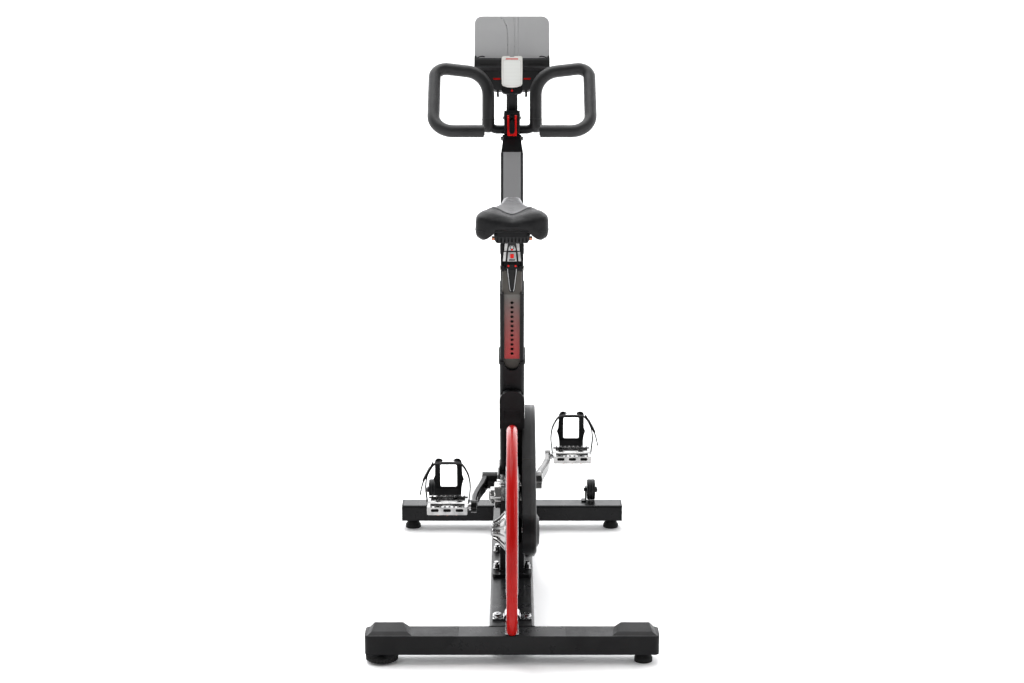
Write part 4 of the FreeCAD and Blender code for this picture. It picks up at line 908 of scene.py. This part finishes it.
def make_pedal_details(hand, side):
    body = "pedal_" + hand
    low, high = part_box("pedal_body_" + hand)
    base_y, base_z = (low.y + high.y) * 500, low.z * 1000 + 13

    def at(x, y, z):
        return world(side * (PEDAL_X + x), base_y + y, base_z + z)

    loop = STRAP_HALF + [(-x, z) for x, z in STRAP_HALF[-2:0:-1]]
    path = softened([at(x, STRAP_MIDDLE, z) for x, z in loop], 5, closed=True)
    path.append(path[0])
    strap = ribbon(path, (0, 1, 0), 0.012, 0.0030)
    tail = softened([at(x, STRAP_MIDDLE, z) for x, z in STRAP_TAIL])
    piece("strap_" + hand, [strap, ribbon(tail, (0, 1, 0), 0.012, 0.0028)], body, "webbing")
    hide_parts("toe_strap_" + hand)
    parts = [ribbon([at(x, STRAP_MIDDLE, z) for x, z in BUCKLE], (0, 1, 0), 0.0155, 0.0052)]
    parts.append(rod([at(48.6, STRAP_MIDDLE - 8.6, 76), at(48.6, STRAP_MIDDLE + 8.6, 76)], 0.0024, 12))
    parts.append(rod([at(55.6, STRAP_MIDDLE - 8.2, 62), at(55.6, STRAP_MIDDLE + 8.2, 62)], 0.0019, 12))
    piece("strap_buckle_" + hand, parts, body, "black_plastic")

    horns = []
    for turn in (-1, 1):
        curl = [at(turn * x, y, z) for x, y, z in HORN_CURL]
        horns.append(rod(curl, HORN_RADII, 10))
    piece("cage_horns_" + hand, horns, body, "black_plastic")

    wells, screws, teeth = [], [], []
    for x in (-29, 0, 29):
        outline = shifted(rounded(8.6, 3.2, 2.6), x, 4.5)
        wells.append(slab(outline, lambda a, b, height: at(a, -38.6 - height, b), 0.5, 0.1))
        for edge in (-PLATE_EDGE, PLATE_EDGE):
            screws.append(dome(at(x * 0.75, edge, -7), (0, 0, -1), 0.0031, 0.0016, 16, 4))
    piece("pedal_slot_wells_" + hand, wells, body, "black_plastic")
    piece("pedal_screws_" + hand, screws, body, "zinc_steel", COPPER)
    cap = turned(at(47.5, 0, 0), (side, 0, 0), DUST_CAP)
    piece("pedal_dust_cap_" + hand, [cap], body, "black_plastic")
    for edge in (-PLATE_EDGE, PLATE_EDGE):
        for k in range(TEETH):
            x = -38 + 76 * k / (TEETH - 1)
            teeth.append(turned(at(x, edge, 12), (0, 0, 1), TOOTH, 4))
    piece("pedal_teeth_" + hand, teeth, body, "cast_alloy")


# ---- Flywheel, its guard, brake and belt cover ----------------------------------------
GUARD_MIDDLE = (-305, 262)     # centre of the guard ring, (y, z), mm
GUARD_R = 231.7
GUARD_TUBE_R = 0.0123
GUARD_LEAVES = 50.0            # where the guard leaves its circle, degrees above level
GUARD_FOOT = 238.0


def make_guard():
    """The guard tube swept smoothly along the same line as the frame's own tube."""
    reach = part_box("flywheel_guard")[1].y * 1000
    line = []
    count = 150
    for k in range(count + 1):
        turn = math.radians(GUARD_FOOT + (GUARD_LEAVES - GUARD_FOOT) * k / count)
        line.append(world(0, GUARD_MIDDLE[0] + GUARD_R * math.cos(turn),
                          GUARD_MIDDLE[1] + GUARD_R * math.sin(turn)))
    turn = math.radians(GUARD_LEAVES)
    end = line[-1]
    length = (reach / 1000 - end.y) / math.sin(turn) - 0.004
    line += [end + Vector((0, math.sin(turn), -math.cos(turn))) * length * k / 6 for k in range(1, 7)]
    tube = piece("guard_tube", [rod(line, GUARD_TUBE_R, 48)], "frame", "red_paint")
    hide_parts("flywheel_guard")


WHEEL_AT = (-296, 262)         # (y, z) of the flywheel's axle, mm
BOSS_AT = (-160, 303)
RIBS = 12
RIB_LINE = ((-14, 44), (-20, 37), (-27, 29.4), (-36, 23.4), (-43.6, 19.6))      # (x, radius), mm
RIB_RADII = [0.0030, 0.0034, 0.0034, 0.0026, 0.0018]
AXLE_NUT = [(0, 0.012), (0.003, 0.012), (0.0045, 0.0105)]
RIM_LINE_R = 0.146
COVER_SCREWS = ((-250, 262), (-120, 352), (-110, 190), (60, 420), (60, 144), (160, 282))
SEAM_HEIGHT = 0.3925           # level of the seam across the belt cover's rear edge, metres
AXLE_PLUG = [(0, 0.0196), (0.006, 0.0196), (0.008, 0.017), (0.0086, 0.006)]


def make_hub_details():
    ribs = []
    for k in range(RIBS):
        turn = 2 * math.pi * k / RIBS
        c, s = math.cos(turn), math.sin(turn)
        line = [world(x, WHEEL_AT[0] + r * c, WHEEL_AT[1] + r * s) for x, r in RIB_LINE]
        ribs.append(rod(line, RIB_RADII, 8))
    piece("hub_ribs", ribs, "flywheel", "cast_alloy")
    rings = [ring(world(-15.4, *WHEEL_AT), (1, 0, 0), 0.0445, 0.0016, 64, 8),
             ring(world(-44, *WHEEL_AT), (1, 0, 0), 0.0180, 0.0018, 40, 8),
             turned(world(-44, *WHEEL_AT), (-1, 0, 0), AXLE_NUT, 6)]
    piece("hub_rings", rings, "flywheel", "bright_steel")
    lines = [ring(world(x, *WHEEL_AT), (1, 0, 0), RIM_LINE_R, 0.0010, 96, 6) for x in (-13.0, 13.0)]
    piece("rim_lines", lines, "flywheel", "zinc_steel")


def make_brake_details():
    cap = [dome(world(-50, *BOSS_AT), (-1, 0, 0), 0.0145, 0.005, 32, 6),
           ring(world(-39.6, *BOSS_AT), (1, 0, 0), 0.0292, 0.0018, 56, 8),
           ring(world(-49.6, *BOSS_AT), (1, 0, 0), 0.0186, 0.0014, 44, 8)]
    for k in range(6):
        turn = math.pi * (2 * k + 1) / 6
        foot = world(-40, BOSS_AT[0] + 25.4 * math.cos(turn), BOSS_AT[1] + 25.4 * math.sin(turn))
        cap.append(socket_screw(foot, (-1, 0, 0), 0.0028, 0.0022))
    piece("caliper_boss_cap", cap, "magnet_arm", "cast_alloy")
    tips = [dome(world(x, -92, 306), (side, 0, 0), 0.0052, 0.0028) for side, x in ((-1, -36), (1, 24))]
    piece("brake_pin_tips", tips, "frame", "bright_steel")


def seen_from_behind(tree, places):
    """Where level lines from behind the bike meet a surface, one for each x."""
    found = []
    for x in places:
        hit = tree.ray_cast(Vector((x, -1.0, SEAM_HEIGHT)), Vector((0, 1, 0)))[0]
        if hit is not None:
            found.append(hit)
    return found


def make_cover_details():
    seam = seen_from_behind(surface_of(nodes["belt_cover_outer"]), (0.0450, 0.0480, 0.0500))
    seam += seen_from_behind(surface_of(nodes["belt_cover_inner"]), (0.0430, 0.0340, 0.0245))
    seam.sort(key=lambda spot: spot.x)
    piece("cover_seam", [rod(seam, 0.0009, 8)], "frame", "gloss_cover", FINISHES["grey_paint"])
    washers = [ring(world(56.1, y, z), (1, 0, 0), 0.0058, 0.0007, 28, 6) for y, z in COVER_SCREWS]
    piece("cover_screw_seats", washers, "frame", "gloss_cover")
    plug = turned(world(54.4, *WHEEL_AT), (1, 0, 0), AXLE_PLUG, 40)
    piece("cover_axle_plug", [plug], "frame", "gloss_cover")


# ---- Base, welds and rollers ----------------------------------------------------------
FOOT_WELD = ((-29.4, -62.4), (29.4, -62.4), (29.4, 106.4), (-29.4, 106.4), (-29.4, -62.4))
FOOT_TOP = 77.2
BAR_WELD = ((-50.6, 30), (-50.6, 68), (50.6, 68), (50.6, 30))
BAR_WELD_AT = (-396, 466)      # where the beam meets the two stabilisers, y in mm
ROLLER_X = 216
ROLLER_AT = (521, 98)
ROLLER_FACE = 0.0098           # how far the spokes lie from the roller's middle plane
SPOKES = 6
CLIP_WASHER = [(0, 0.0115), (0.0012, 0.0115), (0.0018, 0.0105)]


def make_welds():
    beads = [weld([world(x, y, FOOT_TOP) for x, y in FOOT_WELD])]
    for y in BAR_WELD_AT:
        beads.append(weld([world(x, y, z) for x, z in BAR_WELD], 0.0020))
    for x in (-29.2, 29.2):
        beads.append(weld([world(x, -44, 310), world(x, -12, 345)], 0.0018))
    piece("frame_welds", beads, "frame", "black_paint")


def make_roller_details(hand, side):
    centre = world(side * ROLLER_X, *ROLLER_AT)
    cap = dome(world(side * 232, *ROLLER_AT), (side, 0, 0), 0.0062, 0.003)
    piece("roller_cap_" + hand, [cap], "frame", "bright_steel")
    spokes = []
    for k in range(SPOKES):
        turn = 2 * math.pi * k / SPOKES
        out = Vector((0, math.cos(turn), math.sin(turn)))
        for face in (-ROLLER_FACE, ROLLER_FACE):
            start = centre + Vector((face, 0, 0))
            spokes.append(rod([start + out * 0.0095, start + out * 0.022], 0.0013, 8))
    for face in (-ROLLER_FACE, ROLLER_FACE):
        spokes.append(ring(centre + Vector((face, 0, 0)), (1, 0, 0), 0.0235, 0.0012, 48, 8))
    piece("roller_spokes_" + hand, spokes, "roller_" + hand, "grey_plastic")
    grooves = [ring(centre + Vector((shift, 0, 0)), (1, 0, 0), 0.0279, 0.0009, 56, 8)
               for shift in (-0.004, 0.004)]
    piece("roller_tread_" + hand, grooves, "roller_" + hand, "grey_plastic")


def make_guard_clip():
    washers = [turned(world(x, -344, 72.6), (0, 0, 1), CLIP_WASHER, 32) for x in (-33, 33)]
    piece("guard_clip_washers", washers, "frame", "bright_steel")


# ---- Stage --------------------------------------------------------------------------
def make_stage():
    size = 60.0
    floor = bpy.data.meshes.new("studio_floor")
    corners = [(-size, -size, 0), (size, -size, 0), (size, size, 0), (-size, size, 0)]
    floor.from_pydata(corners, [], [(0, 1, 2, 3)])
    floor.materials.append(pale_floor())
    ground = bpy.data.objects.new("studio_floor", floor)
    bpy.context.scene.collection.objects.link(ground)


ROOM_BEHIND = 0.22             # brightness that the bike mirrors from behind it
ROOM_AHEAD = 3.3
BACKDROP = 1.2                 # brightness of the plain white beyond the floor
SUN_STRENGTH = 2.3
SUN_SPREAD = 50                # degrees


def area_light(name, place, aim, size, power, colour=(1, 1, 1)):
    data = bpy.data.lights.new(name, "AREA")
    data.shape = "RECTANGLE"
    data.size, data.size_y = size
    data.energy = power
    data.color = colour
    light = bpy.data.objects.new(name, data)
    light.location = place
    light.rotation_euler = (Vector(aim) - Vector(place)).to_track_quat("-Z", "Y").to_euler()
    bpy.context.scene.collection.objects.link(light)


def make_light():
    """Soft overhead sun, and a room that is brightest beyond the front of the bike."""
    studio = bpy.data.worlds.new("studio")
    studio.use_nodes = True
    tree = studio.node_tree
    outward = tree.nodes.new("ShaderNodeTexCoord").outputs["Generated"]
    split = tree.nodes.new("ShaderNodeSeparateXYZ")
    tree.links.new(outward, split.inputs[0])
    rise = tree.nodes.new("ShaderNodeMapRange")
    rise.interpolation_type = "SMOOTHSTEP"
    tree.links.new(split.outputs["Y"], rise.inputs["Value"])
    for socket, value in (("From Min", -0.35), ("From Max", 0.9), ("To Min", ROOM_BEHIND),
                          ("To Max", ROOM_AHEAD)):
        rise.inputs[socket].default_value = value
    sky = tree.nodes["Background"]
    sky.inputs["Color"].default_value = (0.98, 0.985, 1.0, 1)
    tree.links.new(rise.outputs["Result"], sky.inputs["Strength"])
    plain = tree.nodes.new("ShaderNodeBackground")
    plain.inputs["Color"].default_value = (1, 1, 1, 1)
    plain.inputs["Strength"].default_value = BACKDROP
    seen = tree.nodes.new("ShaderNodeMixShader")
    tree.links.new(tree.nodes.new("ShaderNodeLightPath").outputs["Is Camera Ray"], seen.inputs[0])
    tree.links.new(sky.outputs[0], seen.inputs[1])
    tree.links.new(plain.outputs[0], seen.inputs[2])
    tree.links.new(seen.outputs[0], tree.nodes["World Output"].inputs["Surface"])
    bpy.context.scene.world = studio
    data = bpy.data.lights.new("overhead_sun", "SUN")
    data.energy = SUN_STRENGTH
    data.angle = math.radians(SUN_SPREAD)
    sun = bpy.data.objects.new("overhead_sun", data)
    sun.rotation_euler = (math.radians(-14), math.radians(-10), 0)
    bpy.context.scene.collection.objects.link(sun)
    area_light("left_strip", (-2.6, -2.4, 1.9), (0, -0.2, 0.7), (0.5, 2.4), 26)
    area_light("right_strip", (2.8, -1.6, 2.0), (0, -0.2, 0.7), (0.6, 2.4), 34)
    bpy.context.scene.view_settings.view_transform = "Standard"


CAMERA_PLACE = (0.0, -4.3565, 1.667)
CAMERA_PITCH = 13.3            # degrees below level
LENS = 65.57


def make_camera():
    data = bpy.data.cameras.new("camera")
    data.lens = LENS
    data.sensor_width = 36.0
    camera = bpy.data.objects.new("camera", data)
    camera.location = CAMERA_PLACE
    camera.rotation_euler = (math.radians(90 - CAMERA_PITCH), 0, 0)
    bpy.context.scene.collection.objects.link(camera)
    bpy.context.scene.camera = camera


make_camera()
make_light()
make_stage()
dress_cad_nodes()
make_saddle()
make_seat_head_details()
make_handlebar_details()
make_console_details()
for hand, side in (("right", 1), ("left", -1)):
    make_pedal_details(hand, side)
make_guard()
make_hub_details()
make_brake_details()
make_cover_details()
make_welds()
for hand, side in (("right", 1), ("left", -1)):
    make_roller_details(hand, side)
make_guard_clip()
